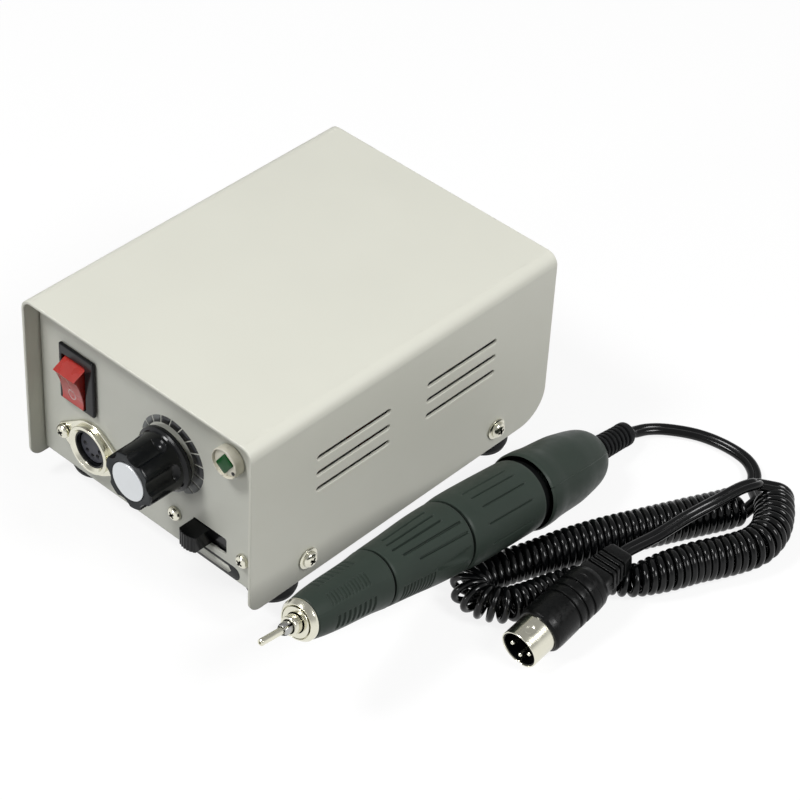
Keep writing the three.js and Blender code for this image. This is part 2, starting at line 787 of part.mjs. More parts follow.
function addSocket() {
  const ringFace = fit + flangeThickness + socketRingProud;
  const flange = solid(slab(earedFlange(), flangeThickness, 3).translate(0, 0, fit));
  const ring = solid(rod(socketRingRadius, fit, ringFace, 20));
  const barrel = solid(rod(socketBarrel, -socketBarrelDepth, fit + flangeThickness, 20));
  const bore = solid(turned([
    [0, -socketBarrelDepth - overrun], [socketBore, -socketBarrelDepth - overrun],
    [socketBore, ringFace - socketChamferDepth], [socketMouth, ringFace],
    [socketMouth, ringFace + overrun], [0, ringFace + overrun],
  ], 20));
  const holes = [-earReach, earReach].map((x) =>
    solid(rod(panelScrewShank + fit, -overrun, ringFace, 8).translate(x, 0, 0)));
  piece(frontWall, 'socket_shell', geometryOf(cut(join([flange, ring, barrel]), [bore, ...holes])),
    nickel, socketX, socketZ);

  const insertFace = ringFace - insertRecess;
  const insertBack = insertFace - insertThickness;
  const disc = solid(rod(socketBore - fit, insertBack, insertFace, 20));
  const contacts = [];
  for (let i = 0; i < contactCount; i++) {
    const angle = Math.PI + i * Math.PI / (contactCount - 1);
    contacts.push(solid(rod(contactHole, insertBack + fit * 4, insertFace + overrun, 6)
      .translate(contactCircle * Math.cos(angle), contactCircle * Math.sin(angle), 0)));
  }
  const keyLength = insertThickness + overrun * 2;
  const key = solid(block(keyWidth, 2 * keyDepth, keyLength, 0, socketBore - fit, insertFace));
  const insert = geometryOf(cut(disc, [...contacts, key]));
  piece(frontWall, 'socket_insert', insert, greyPlastic, socketX, socketZ);

  for (const [side, turn] of [['left', -1], ['right', 1]]) {
    const screw = screwGeometry(panelScrewShank, panelScrewLength, panelScrewHead, panelScrewHeadHeight);
    piece(frontWall, `socket_screw_${side}`, screw, nickel,
      socketX + turn * earReach, socketZ, 2 * fit + flangeThickness);
  }
}

// The knob: a round skirt, then a fluted grip whose flutes run out above the skirt.
function knobGeometry() {
  const count = 4 * knobFlutes;
  const ridge = (angle) => Math.abs(Math.sin(knobFlutes * angle / 2));
  const ring = (height, radius, depth) =>
    polarRing(count, height, (angle) => radius - depth * ridge(angle));
  const fluteStart = knobSkirtHeight + 2 * knobFluteDepth;
  const body = loft([
    ring(0, knobSkirtRadius - knobEdge, 0),
    ring(knobEdge, knobSkirtRadius, 0),
    ring(knobSkirtHeight, knobSkirtRadius, 0),
    ring(knobSkirtHeight + knobFluteDepth, knobWaistRadius, 0),
    ring(fluteStart, knobWaistRadius, knobFluteDepth * 0.8),
    ring(fluteStart + knobFluteDepth, knobWaistRadius, knobFluteDepth),
    ring(knobHeight - knobEdge, knobFrontRadius, knobFluteDepth),
    ring(knobHeight, knobFrontRadius - knobEdge, knobFluteDepth),
  ]);
  const recess = rod(knobRecessRadius, -overrun, knobRecessDepth, 16);
  const bore = rod(shaftRadius + fit, 0, shaftProud, 10);
  const capSeat = rod(knobCapRadius + fit, knobHeight - knobCapThickness, knobHeight + overrun, 20);
  return geometryOf(cut(solid(body), [solid(recess), solid(bore), solid(capSeat)]));
}

function addSpeedControl() {
  const washerTop = fit + nutWasherThickness;
  const nutTop = washerTop + nutThickness;
  const potBack = -sheet - fit - potDepth;
  const can = solid(turned([
    [0, potBack], [potRadius - fit, potBack], [potRadius, potBack + 2 * fit], [potRadius, -sheet - fit],
    [bushingRadius, -sheet - fit], [bushingRadius, bushingProud], [0, bushingProud],
  ], 16));
  const bore = solid(rod(shaftRadius + fit, -shaftInset - fit, bushingProud + overrun, 10));
  piece(frontWall, 'potentiometer_body', geometryOf(can.subtract(bore)), steel, dialX, dialZ);

  const washer = solid(rod(nutWasherRadius, fit, washerTop, 16));
  const hexagon = solid(rod(nutRadius, washerTop - fit, nutTop, 6));
  const nutHole = solid(rod(bushingRadius + fit, -overrun, nutTop + overrun, 12));
  piece(frontWall, 'potentiometer_nut', geometryOf(join([washer, hexagon]).subtract(nutHole)),
    nickel, dialX, dialZ);
  const shaft = rod(shaftRadius, -shaftInset, shaftProud, 10);
  piece(frontWall, 'potentiometer_shaft', shaft, steel, dialX, dialZ);

  const knobBack = washerTop + fit;
  const knob = piece(frontWall, 'speed_knob', knobGeometry(), blackPlastic, dialX, dialZ, knobBack);
  knob.rotation.z = THREE.MathUtils.degToRad(knobTurn);
  const face = knobCapThickness;
  const cap = turned([
    [0, fit], [knobCapRadius, fit], [knobCapRadius, face],
    [knobCapRadius - fit, face + fit], [0, face + fit],
  ], 20);
  piece(frontWall, 'knob_cap', cap, spunAluminium, dialX, dialZ, knobBack + knobHeight - knobCapThickness);
}

function addPilotLamp() {
  const seat = lampProud - lampSeatDepth;
  const bezel = turned([
    [lampBarrelBore, -lampBarrelDepth], [lampBarrel, -lampBarrelDepth], [lampBarrel, fit],
    [lampRadius, fit], [lampRadius, lampProud * 0.55], [lampRadius * 0.93, lampProud],
    [lampMouth + fit, lampProud], [lampMouth, seat], [lampBarrelBore, seat],
    [lampBarrelBore, -lampBarrelDepth],
  ], 16);
  piece(frontWall, 'pilot_lamp_bezel', bezel, whitePlastic, lampX, lampZ);
  const rim = lampProud - lampSeatDepth / 3;
  const profile = [[0, seat - lensStemLength], [lensStem, seat - lensStemLength], [lensStem, seat + fit],
    [lensRadius, seat + fit], [lensRadius, rim]];
  for (let i = 1; i < 3; i++) {
    const angle = i * Math.PI / 6;
    profile.push([lensRadius * Math.cos(angle), rim + lensProud * Math.sin(angle)]);
  }
  profile.push([0, rim + lensProud]);
  piece(frontWall, 'pilot_lamp_lens', turned(profile, 14), greenLens, lampX, lampZ);
}

// Stack behind the panel: the lever's plate slides in a pocket of the switch frame
const slideTop = -sheet - fit;
const slideBottom = slideTop - slidePlateThickness;
const leverHeight = windowHeight - 2 * fit;
const leverTravel = windowWidth - leverWidth - 2 * fit;
const plateHeight = windowHeight + 2 * slidePlateMargin;

function leverGeometry() {
  const plate = solid(block(slidePlateLength, plateHeight, slidePlateThickness, 0, 0,
    (slideTop + slideBottom) / 2));
  const shape = new THREE.Shape();
  const half = leverWidth / 2;
  const crest = leverProud;
  shape.moveTo(-half, slideTop - slidePlateThickness / 2);
  shape.lineTo(half, slideTop - slidePlateThickness / 2);
  const ribPitch = leverWidth / leverRibs;
  const height = (x) => crest - leverCrown * (x / half) ** 2;
  for (let i = 0; i < leverRibs; i++) {
    const right = half - i * ribPitch;
    shape.lineTo(right - ribPitch * 0.12, height(right));
    shape.lineTo(right - ribPitch * 0.7, height(right - ribPitch * 0.7));
    if (i + 1 < leverRibs) shape.lineTo(right - ribPitch * 0.86, height(right) - leverCrown * 0.45);
  }
  shape.lineTo(-half, height(-half));
  const upright = new THREE.Matrix4().makeBasis(
    new THREE.Vector3(1, 0, 0), new THREE.Vector3(0, 0, 1), new THREE.Vector3(0, -1, 0));
  const standing = slab(shape, leverHeight).applyMatrix4(upright).translate(0, leverHeight / 2, 0);
  return geometryOf(plate.add(solid(standing)));
}

function addDirectionSwitch() {
  const frameLength = switchScrewPitch + 2 * switchFrameEnd;
  const frameBack = slideTop - switchFrameThickness;
  const frame = solid(block(frameLength, switchFrameHeight, switchFrameThickness,
    0, 0, (slideTop + frameBack) / 2));
  const body = solid(block(switchBodyLength, switchFrameHeight, switchBodyDepth,
    0, 0, frameBack - switchBodyDepth / 2 + fit));
  const pocketLength = slidePlateLength + leverTravel + 2 * fit;
  const pocket = solid(block(pocketLength, plateHeight + 2 * fit, 2 * (slidePlateThickness + fit),
    0, 0, slideTop));
  const holes = [-1, 1].map((side) => solid(rod(panelScrewShank + fit, frameBack - overrun, overrun, 12)
    .translate(side * switchScrewPitch / 2, 0, 0)));
  piece(frontWall, 'direction_switch_body', geometryOf(cut(join([frame, body]), [pocket, ...holes])),
    blackPlastic, switchX, switchZ);
  piece(frontWall, 'direction_lever', leverGeometry(), blackPlastic, switchX - leverTravel / 2, switchZ);
  ['left', 'right'].forEach((side, i) => {
    const screw = screwGeometry(panelScrewShank, panelScrewLength, panelScrewHead, panelScrewHeadHeight);
    piece(frontWall, `direction_switch_screw_${side}`, screw, nickel, switchScrewXs[i], switchZ, fit);
  });
}

function addTransformer() {
  const openWidth = coreWidth / 2 - 2 * coreLeg;
  const openHeight = coreHeight - 2 * coreLeg;
  const middle = chassisFloor + fit + coreHeight / 2;
  const openings = [-1, 1].map((side) => solid(block(
    openWidth, coreStack + overrun, openHeight, side * (coreLeg + openWidth / 2))));
  const stack = cut(solid(block(coreWidth, coreStack, coreHeight)), openings);
  piece(product, 'transformer_core', geometryOf(stack), laminations, transformerX, transformerY, middle);

  const legWidth = 2 * coreLeg;
  const windingWidth = legWidth + 2 * (openWidth - fit);
  const windingDepth = coreStack + 2 * windingProud;
  const ring = new THREE.Shape(roundedOutline(windingWidth, windingDepth, windingProud / 2, 2));
  ring.holes.push(new THREE.Path(roundedOutline(legWidth + 2 * fit, coreStack + 2 * fit, fit, 1)));
  const windingHeight = coreHeight - 2 * coreLeg - 2 * fit;
  piece(product, 'transformer_winding', slab(ring, windingHeight).translate(0, 0, -windingHeight / 2),
    copper, transformerX, transformerY, middle);
}

function addCircuitBoard() {
  const bottom = chassisFloor + boardRise;
  const top = bottom + boardThickness;
  const solids = [solid(block(boardWidth, boardLength, boardThickness, 0, 0, (bottom + top) / 2))];
  for (const x of [-1, 1]) {
    for (const y of [-1, 1]) {
      solids.push(solid(rod(standoffRadius, chassisFloor + fit, bottom + boardThickness / 2, 10)
        .translate(x * (boardWidth / 2 - standoffInset), y * (boardLength / 2 - standoffInset), 0)));
    }
  }
  const sinkY = -boardLength / 4;
  const seat = top - boardThickness / 2;
  const sinkBase = heatSinkHeight / 4;
  solids.push(solid(block(heatSinkWidth, heatSinkLength, sinkBase, 0, sinkY, seat + sinkBase / 2)));
  for (let i = 0; i < heatSinkFins; i++) {
    const x = (i / (heatSinkFins - 1) - 0.5) * (heatSinkWidth - finThickness);
    const fin = block(finThickness, heatSinkLength, heatSinkHeight, x, sinkY, seat + heatSinkHeight / 2);
    solids.push(solid(fin));
  }
  solids.push(solid(rod(capacitorRadius, seat, top + capacitorHeight, 14)
    .translate(boardWidth / 4, boardLength / 4 + capacitorRadius, 0)));
  solids.push(solid(block(relayWidth, relayLength, relayHeight,
    -boardWidth / 4, boardLength / 4, seat + relayHeight / 2)));
  piece(product, 'circuit_board', geometryOf(join(solids)), circuitGreen,
    -chassisWidth / 2 + sheet + boardMargin + boardWidth / 2, boardY, 0);
}

function addRearPanel() {
  const flange = (radius, body, bore, proud, depth) => turned([
    [bore, -depth], [body, -depth], [body, fit], [radius, fit], [radius, fit + rearFlangeThickness],
    [body, fit + rearFlangeThickness], [body * 0.9, proud], [bore, proud], [bore, -depth],
  ], 14);
  piece(rearWall, 'mains_gland', flange(glandFlange, glandBody, glandBore, glandProud, glandDepth),
    blackRubber, -glandX, glandZ);
  piece(rearWall, 'foot_control_jack', flange(jackFlange, jackBody, jackBore, jackProud, jackDepth),
    steel, -jackX, jackZ);
  const holder = turned([
    [0, -fuseDepth], [fuseBody * 0.6, -fuseDepth], [fuseBody, -fuseDepth + fuseBody], [fuseBody, fit],
    [fuseFlange, fit], [fuseFlange, fit + rearFlangeThickness], [fuseCap, fit + rearFlangeThickness],
    [fuseCap, fuseProud - fit], [fuseCap - fit, fuseProud], [0, fuseProud],
  ], 14);
  piece(rearWall, 'fuse_holder', holder, blackPlastic, -fuseX, fuseZ);
}

// A group whose +Z runs along a leaning axis that points to the back
function leaningFrame(origin, yaw, pitch) {
  const frame = new THREE.Group();
  frame.rotation.order = 'ZXY';
  frame.rotation.set(-Math.PI / 2 + THREE.MathUtils.degToRad(pitch), 0, -THREE.MathUtils.degToRad(yaw));
  frame.position.copy(origin);
  frame.updateMatrix();
  product.add(frame);
  return frame;
}

const handpiece = leaningFrame(handpieceNose, handpieceYaw, -handpieceTilt);
const plug = leaningFrame(plugFace, plugYaw, plugTilt);

// Stations along the handpiece
const coneStart = fit;
const coneEnd = coneStart + coneLength;
const sleeveStart = coneEnd + fit;
const sleeveEnd = sleeveStart + sleeveLength;
const motorStart = sleeveEnd + fit;
const motorEnd = motorStart + motorLength;
const capStart = motorEnd + fit;
const capFront = capStart + capGroove;
const capEnd = capFront + capLength;
const reliefStart = capEnd + fit;
const reliefEnd = reliefStart + reliefLength;
const motorBore = motorRadius * motorShares[0][1] - motorWall;
const magnetStart = motorStart + magnetAt;
const magnetEnd = magnetStart + rotorLength;
const commutatorStart = magnetEnd + fit;
const commutatorEnd = commutatorStart + commutatorLength;
const rearBearingStart = capStart + rearBearingAt;
const rotorShaftStart = sleeveEnd - couplingOverlap;
const rotorShaftEnd = rearBearingStart + rearBearingWidth + fit;
const spindleStart = -noseRingLength - noseDiscThickness - fit;
const hubFront = spindleStart - hubLength;
const spindleEnd = hubFront + spindleLength;
const couplingStart = spindleEnd - couplingOverlap;

function addNose() {
  const ring = turned([
    [hubRadius + fit, -noseRingLength - noseDiscThickness],
    [noseDiscRadius, -noseRingLength - noseDiscThickness],
    [noseDiscRadius, -noseRingLength], [noseRingFront, -noseRingLength], [noseRadius, -noseRingLength / 3],
    [noseRadius, 0], [hubRadius + fit, 0], [hubRadius + fit, -noseRingLength - noseDiscThickness],
  ], 18);
  piece(handpiece, 'nose_ring', ring, nickel);

  const count = 6 * conePatches;
  const [ribFrom, ribTo] = coneRibShares;
  const radiusAt = (share) => noseRadius + (coneRearRadius - noseRadius) * shareAt(coneShares, share);
  const patch = (angle) => Math.cos(conePatches * angle / 2) ** 2 > 0.25 ? 1 : 0;
  const rings = [];
  const ringAt = (share, depth) => rings.push(polarRing(count, coneStart + coneLength * share,
    (angle) => radiusAt(share) - depth * patch(angle)));
  ringAt(0, 0);
  for (let i = 0; i < coneRibs; i++) {
    const share = ribFrom + (ribTo - ribFrom) * i / (coneRibs - 1);
    const half = (ribTo - ribFrom) / (coneRibs - 1) / 2;
    ringAt(share - half * 0.55, 0);
    ringAt(share, coneRibDepth);
  }
  ringAt(ribTo + (1 - ribTo) / 3, 0);
  ringAt(1, 0);
  const bearingSeat = coneStart + frontBearingAt;
  const threadStart = coneEnd - noseThreadLength;
  const bore = turned([
    [0, coneStart - overrun], [hubRadius + fit, coneStart - overrun], [hubRadius + fit, bearingSeat - fit],
    [bearingRadius + fit, bearingSeat - fit], [bearingRadius + fit, bearingSeat + bearingWidth + fit],
    [boreRadius, bearingSeat + bearingWidth + fit], [boreRadius, threadStart - fit],
    [noseThreadRadius + fit, threadStart - fit], [noseThreadRadius + fit, coneEnd + overrun],
    [0, coneEnd + overrun],
  ], 12);
  piece(handpiece, 'nose_cone', geometryOf(solid(loft(rings)).subtract(solid(bore))), handpieceCoat);
}

// The chuck sleeve: grooves that run along it and taper out, on a swelling barrel.
function addChuckSleeve() {
  const count = 4 * sleeveGrooves;
  const swell = sleeveRearRadius - coneRearRadius;
  const radiusAt = (share) => coneRearRadius + swell * shareAt(sleeveShares, share);
  const [from, to] = sleeveGrooveShares;
  const rings = sleeveShares.map(([share]) => {
    const inside = Math.max(0, 1 - Math.abs(2 * (share - from) / (to - from) - 1));
    const depth = sleeveGrooveDepth * Math.min(1, 2 * inside);
    return polarRing(count, sleeveStart + sleeveLength * share, (angle) =>
      radiusAt(share) - depth * (0.5 - 0.5 * Math.cos(sleeveGrooves * angle)));
  });
  const bore = rod(neckRadius + fit, sleeveStart - overrun, sleeveEnd + overrun, 20);
  piece(handpiece, 'chuck_sleeve', geometryOf(solid(loft(rings)).subtract(solid(bore))), handpieceCoat);
}

function addMotorHousing() {
  const threadStart = coneEnd - noseThreadLength;
  const barrel = motorShares.map(([share, radius]) =>
    [motorRadius * radius, motorStart + motorLength * share]);
  const profile = [
    [boreRadius, threadStart], [noseThreadRadius, threadStart], [noseThreadRadius, coneEnd + fit / 2],
    [neckRadius, coneEnd + fit / 2], [neckRadius, motorStart - fit / 2], ...barrel,
    [motorBore, motorEnd], [motorBore, magnetStart - fit], [boreRadius, magnetStart - fit],
    [boreRadius, threadStart],
  ];
  piece(handpiece, 'motor_housing', turned(profile, 22), handpieceCoat);
}

function addRearCap() {
  const outside = capShares.map(([share, radius]) => [capRadius * radius, capFront + capLength * share]);
  const seat = bearingRadius + fit;
  const mouth = capGrooveRadius - capWall;
  const tail = capEnd - capWall;
  const profile = [
    [mouth, capStart], [capGrooveRadius, capStart], [capGrooveRadius, capFront], ...outside,
    [reliefRadius, capEnd], [reliefNeck + fit, capEnd], [reliefNeck + fit, tail],
    [seat - fit, tail - capWall], [seat - fit, rearBearingStart + rearBearingWidth + fit],
    [seat, rearBearingStart + rearBearingWidth + fit], [seat, rearBearingStart - fit],
    [mouth, rearBearingStart - fit], [mouth, capStart],
  ];
  piece(handpiece, 'rear_cap', turned(profile, 22), handpieceCoat);

  const head = tail - capWall - fit;
  const ribs = [];
  const ribLength = reliefLength / (2 * reliefRibs);
  for (let i = 0; i < 2 * reliefRibs; i++) {
    const share = i / (2 * reliefRibs);
    const radius = reliefRadius + (reliefEndRadius - reliefRadius) * share;
    const valley = i % 2 ? radius - (reliefRadius - reliefEndRadius) * 0.5 : radius;
    ribs.push([valley, reliefStart + i * ribLength], [valley, reliefStart + (i + 1) * ribLength]);
  }
  const relief = turned([
    [0, head - reliefHeadLength], [reliefHead, head - reliefHeadLength], [reliefHead, head],
    [reliefNeck, head], [reliefNeck, reliefStart], ...ribs, [0, reliefEnd],
  ], 12);
  piece(handpiece, 'strain_relief', relief, blackRubber);
}

function addSpindle() {
  const spindle = turned([
    [spindleBore, hubFront], [hubRadius, hubFront], [hubRadius, spindleStart],
    [spindleRadius, spindleStart],
    [spindleRadius, spindleEnd], [spindleBore, spindleEnd], [spindleBore, hubFront],
  ], 16);
  piece(handpiece, 'spindle', spindle, nickel);

  const colletTip = hubFront - colletProud;
  const colletEnd = colletTip + colletLength;
  const tube = solid(turned([
    [mandrelRadius + fit, colletTip], [colletRadius * 0.8, colletTip],
    [colletRadius, colletTip + colletRadius / 2],
    [colletRadius, colletEnd], [mandrelRadius + fit, colletEnd], [mandrelRadius + fit, colletTip],
  ], 12));
  const slitDepth = colletLength / 2;
  const slits = [0, 1].map((i) => solid(block(4 * colletRadius, colletSlit, slitDepth,
    0, 0, colletTip + slitDepth / 2 - overrun).rotateZ(i * Math.PI / 2)));
  piece(handpiece, 'collet', geometryOf(cut(tube, slits)), steel);
  const tip = colletTip - mandrelProud;
  const mandrel = turned([
    [0, tip], [mandrelRadius - fit, tip], [mandrelRadius, tip + fit], [mandrelRadius, tip + mandrelLength],
    [0, tip + mandrelLength],
  ], 10);
  piece(handpiece, 'mandrel', mandrel, nickel);

  const bearingSeat = coneStart + frontBearingAt;
  piece(handpiece, 'front_bearing',
    pipe(bearingRadius, spindleRadius + fit, bearingSeat, bearingSeat + bearingWidth, 16), steel);
  piece(handpiece, 'rear_bearing',
    pipe(bearingRadius, rotorShaft + fit, rearBearingStart, rearBearingStart + rearBearingWidth, 16),
    steel);

  const coil = [];
  const springRadius = (boreRadius + spindleRadius) / 2;
  for (let i = 0; i <= springTurns * curlSteps; i++) {
    const angle = 2 * Math.PI * i / curlSteps;
    coil.push(new THREE.Vector3(springRadius * Math.cos(angle), springRadius * Math.sin(angle),
      springAt + springPitch * i / curlSteps));
  }
  piece(handpiece, 'collet_spring', tubeAlong(coil, springWire, curlSides), steel);
}

function addMotorParts() {
  const couplingEnd = couplingStart + couplingLength;
  const coupling = turned([
    [spindleRadius + fit, couplingStart], [couplingRadius, couplingStart], [couplingRadius, couplingEnd],
    [rotorShaft + fit, couplingEnd], [rotorShaft + fit, spindleEnd + fit],
    [spindleRadius + fit, spindleEnd + fit],
    [spindleRadius + fit, couplingStart],
  ], 12);
  piece(handpiece, 'coupling', coupling, blackPlastic);

  const magnet = pipe(motorBore - fit, rotorRadius + rotorGap, magnetStart, magnetEnd, 16);
  piece(handpiece, 'magnet', magnet, ferrite);

  const stack = solid(rod(rotorRadius, magnetStart, magnetEnd, 18));
  const shaft = solid(rod(rotorShaft, rotorShaftStart, rotorShaftEnd, 10));
  const slots = [];
  for (let i = 0; i < rotorPoles; i++) {
    slots.push(solid(block(rotorRadius, rotorSlot, rotorLength + overrun, rotorRadius, 0,
      (magnetStart + magnetEnd) / 2).rotateZ(i * 2 * Math.PI / rotorPoles)));
  }
  piece(handpiece, 'rotor', geometryOf(cut(stack, slots).add(shaft)), laminations);
  piece(handpiece, 'commutator',
    pipe(commutatorRadius, rotorShaft + fit, commutatorStart, commutatorEnd, 12), copper);
  const brushLength = motorBore - fit - commutatorRadius - fit;
  for (const [side, turn] of [['left', -1], ['right', 1]]) {
    const reach = turn * (commutatorRadius + fit + brushLength / 2);
    const brush = block(brushLength, brushWidth, brushThickness, reach, 0,
      (commutatorStart + commutatorEnd) / 2);
    piece(handpiece, `brush_${side}`, weld(brush), carbon);
  }
}

function addPlug() {
  const bodyStart = plugShellLength;
  const bodyEnd = bodyStart + plugLength;
  const shellEnd = bodyStart + plugShellSeat;
  const shellBore = plugShellRadius - plugShellWall;
  piece(plug, 'plug_shell', pipe(plugShellRadius, shellBore, 0, shellEnd - fit, 20), nickel);

  const insertEnd = plugInsertRecess + plugInsertLength - plugShellSeat - fit;
  const holes = [];
  const pinPlaces = [];
  for (let i = 0; i < pinCount; i++) {
    const angle = Math.PI * (0.15 + 0.35 * i);
    pinPlaces.push([pinCircle * Math.cos(angle), pinCircle * Math.sin(angle)]);
  }
  const pinStart = plugShellWall;
  const pinEnd = pinStart + pinLength;
  for (const [x, y] of pinPlaces) {
    holes.push(solid(rod(pinRadius + fit, -overrun, pinEnd, 6).translate(x, y, 0)));
  }
  const insert = solid(rod(shellBore - fit, plugInsertRecess, insertEnd, 16));
  piece(plug, 'plug_insert', geometryOf(cut(insert, holes)), blackPlastic);
  pinPlaces.forEach(([x, y], i) => {
    const pin = turned([[0, pinStart], [pinRadius * 0.6, pinStart], [pinRadius, pinStart + pinRadius],
      [pinRadius, pinEnd - fit], [0, pinEnd - fit]], 6);
    piece(plug, `plug_pin_${i + 1}`, pin, nickel, x, y);
  });

  const barrel = [];
  const grooveHalf = plugGrooveWidthShare / 2;
  const marks = [...plugShares.map(([share]) => [share, 0]),
    ...plugGrooveShares.flatMap((share) => [
      [share - grooveHalf, 0], [share - grooveHalf / 2, 1],
      [share + grooveHalf / 2, 1], [share + grooveHalf, 0],
    ])].sort((a, b) => a[0] - b[0]);
  for (const [share, sunk] of marks) {
    const radius = plugRadius * (shareAt(plugShares, share) - sunk * plugGrooveDepthShare);
    barrel.push([radius, bodyStart + plugLength * share]);
  }
  const round = solid(turned([[0, bodyStart], ...barrel, [0, bodyEnd]], 20));
  const seat = solid(rod(plugShellRadius + fit, bodyStart - overrun, shellEnd, 16));
  const core = solid(rod(shellBore - fit, bodyStart - overrun, insertEnd + fit, 12));
  const boot = [];
  const steps = 2 * bootRibs;
  for (let i = 0; i <= steps; i++) {
    const share = i / steps;
    const width = plugNeckWidth + (bootWidth - plugNeckWidth) * share;
    const height = plugNeckHeight + (bootHeight - plugNeckHeight) * share;
    const from = i === 0 ? bodyEnd - plugRadius / 2 : bodyEnd + bootLength * (i - 0.35) / steps;
    const to = bodyEnd + bootLength * Math.min(1, (i + 0.35) / steps);
    const slim = i % 2 && i < steps ? 1 - plugGrooveDepthShare * 2.5 : 1;
    const ring = roundedOutline(width * slim, height * slim, bootHeight / 4, 1);
    boot.push(raised(ring, Math.min(from, bodyEnd + bootLength - fit)), raised(ring, to));
  }
  const body = join([round, solid(loft(boot))]);
  piece(plug, 'plug_body', geometryOf(cut(body, [seat, core])), blackPlastic);
}

// A tube of equal rings along a list of points, its rings carried along without twist.
function tubeAlong(points, radius, sides) {
  const last = points.length - 1;
  const tangents = points.map((point, i) =>
    points[Math.min(i + 1, last)].clone().sub(points[Math.max(i - 1, 0)]).normalize());
  tangents[0].copy(points[1]).sub(points[0]).normalize();
  tangents[last].copy(points[last]).sub(points[last - 1]).normalize();
  let normal = new THREE.Vector3(0, 0, 1).projectOnPlane(tangents[0]);
  if (normal.lengthSq() < 0.01) normal = new THREE.Vector3(1, 0, 0).projectOnPlane(tangents[0]);
  normal.normalize();
  const rings = points.map((point, i) => {
    if (i > 0) {
      const turn = new THREE.Quaternion().setFromUnitVectors(tangents[i - 1], tangents[i]);
      normal.applyQuaternion(turn).projectOnPlane(tangents[i]).normalize();
    }
    const side = tangents[i].clone().cross(normal);
    const ring = [];
    for (let k = 0; k < sides; k++) {
      const angle = 2 * Math.PI * k / sides;
      ring.push(point.clone().addScaledVector(normal, radius * Math.cos(angle))
        .addScaledVector(side, radius * Math.sin(angle)));
    }
    return ring;
  });
  return loft(rings);
}

// The curls' centre line: a helix about a curve on the table. Its width and height follow the
// route's table, its pitch widens where the curve bends, it opens out of a straight run at the
// first end and leaves along the top of its last curl at the other.
function curlLine(stepsPerTurn) {
  const samples = 1500;
  const axis = new THREE.CatmullRomCurve3(
    curlRoute.map(([x, y]) => new THREE.Vector3(x, y, 0)), false, 'catmullrom');
  const girth = new THREE.CatmullRomCurve3(
    curlRoute.map(([, , width, height]) => new THREE.Vector3(width, height, 0)), false, 'catmullrom');
  const path = [];
  let turns = 0;
  const spots = Array.from({ length: samples + 1 }, (_, i) => axis.getPoint(i / samples));
  const bearing = (i) => {
    const ahead = spots[Math.min(i + 1, samples)];
    const behind = spots[Math.max(i - 1, 0)];
    return ahead.clone().sub(behind).normalize();
  };
  const cordLift = curlLift + curlRadius;
  let walked = 0;
  for (let i = 0; i <= samples; i++) {
    const along = bearing(i);
    const size = girth.getPoint(i / samples);
    const step = i > 0 ? spots[i].distanceTo(spots[i - 1]) : 0;
    walked += step;
    const bend = i > 0 && i < samples ? bearing(i + 1).distanceTo(bearing(i - 1)) /
      spots[Math.min(i + 1, samples)].distanceTo(spots[i - 1]) : 0;
    const reach = size.x / 2 - curlRadius;
    const pitch = (2 * curlRadius + curlGap) / Math.max(bendLimit, 1 - bendEase * reach * bend);
    const straight = 2 * curlRadius;
    if (walked > straight) {
      const opening = Math.min(1, turns / curlEntry);
      turns += step / (pitch * (1 + 0.8 * (1 - opening)));
    }
    path.push({ spot: spots[i], along, size, turns });
  }
  const total = Math.floor(turns);
  const line = [];
  const at = (target) => {
    const next = path.findIndex((entry) => entry.turns > target);
    const k = next < 1 ? samples : next;
    const a = path[k - 1];
    const b = path[k];
    const share = b.turns > a.turns ? (target - a.turns) / (b.turns - a.turns) : 0;
    const spot = a.spot.clone().lerp(b.spot, share);
    const along = a.along.clone().lerp(b.along, share).normalize();
    const size = a.size.clone().lerp(b.size, share);
    const open = THREE.MathUtils.smoothstep(target, 0, curlEntry);
    const left = new THREE.Vector3(-along.y, along.x, 0);
    const angle = 2 * Math.PI * target;
    const acrossReach = (size.x / 2 - curlRadius) * open;
    const upReach = (size.y / 2 - curlRadius) * open;
    return spot.addScaledVector(left, acrossReach * Math.sin(angle))
      .setZ(cordLift + upReach * (1 + Math.cos(angle)));
  };
  line.push(spots[0].clone().setZ(curlLift + leadRadius));
  for (let i = 0; i <= total * stepsPerTurn; i++) line.push(at(i / stepsPerTurn));
  const end = line[line.length - 1];
  const leaving = end.clone().sub(at(total - 0.02));
  line.push(end.clone().addScaledVector(leaving.normalize(), 2 * curlRadius));
  return { line, total };
}

function leastGap(line, radius, apart) {
  let least = Infinity;
  const lengths = [0];
  for (let i = 1; i < line.length; i++) lengths.push(lengths[i - 1] + line[i].distanceTo(line[i - 1]));
  for (let i = 0; i < line.length; i++) {
    for (let k = i + 1; k < line.length; k++) {
      if (lengths[k] - lengths[i] > apart) least = Math.min(least, line[i].distanceTo(line[k]));
    }
  }
  return { gap: least - 2 * radius, length: lengths[line.length - 1] };
}

// A lead: a straight run out of one face, its route, and a straight run into the other face.
function leadGeometry(start, startAlong, route, end, endAlong) {
  const run = 2 * leadRadius;
  const points = [
    start, start.clone().addScaledVector(startAlong, run / 2),
    start.clone().addScaledVector(startAlong, run),
    ...route.map(([x, y, z]) => new THREE.Vector3(x, y, z)),
    end.clone().addScaledVector(endAlong, -run), end.clone().addScaledVector(endAlong, -run / 2), end,
  ];
  const path = new THREE.CatmullRomCurve3(points, false, 'centripetal');
  const section = polarRing(leadSides, 0, () => leadRadius)
    .map((point) => new THREE.Vector2(point.x, point.y));
  const steps = Math.round(path.getLength() / (5 * leadRadius));
  return {
    geometry: weld(new THREE.ExtrudeGeometry(new THREE.Shape(section), { steps, extrudePath: path })),
    length: path.getLength(),
  };
}

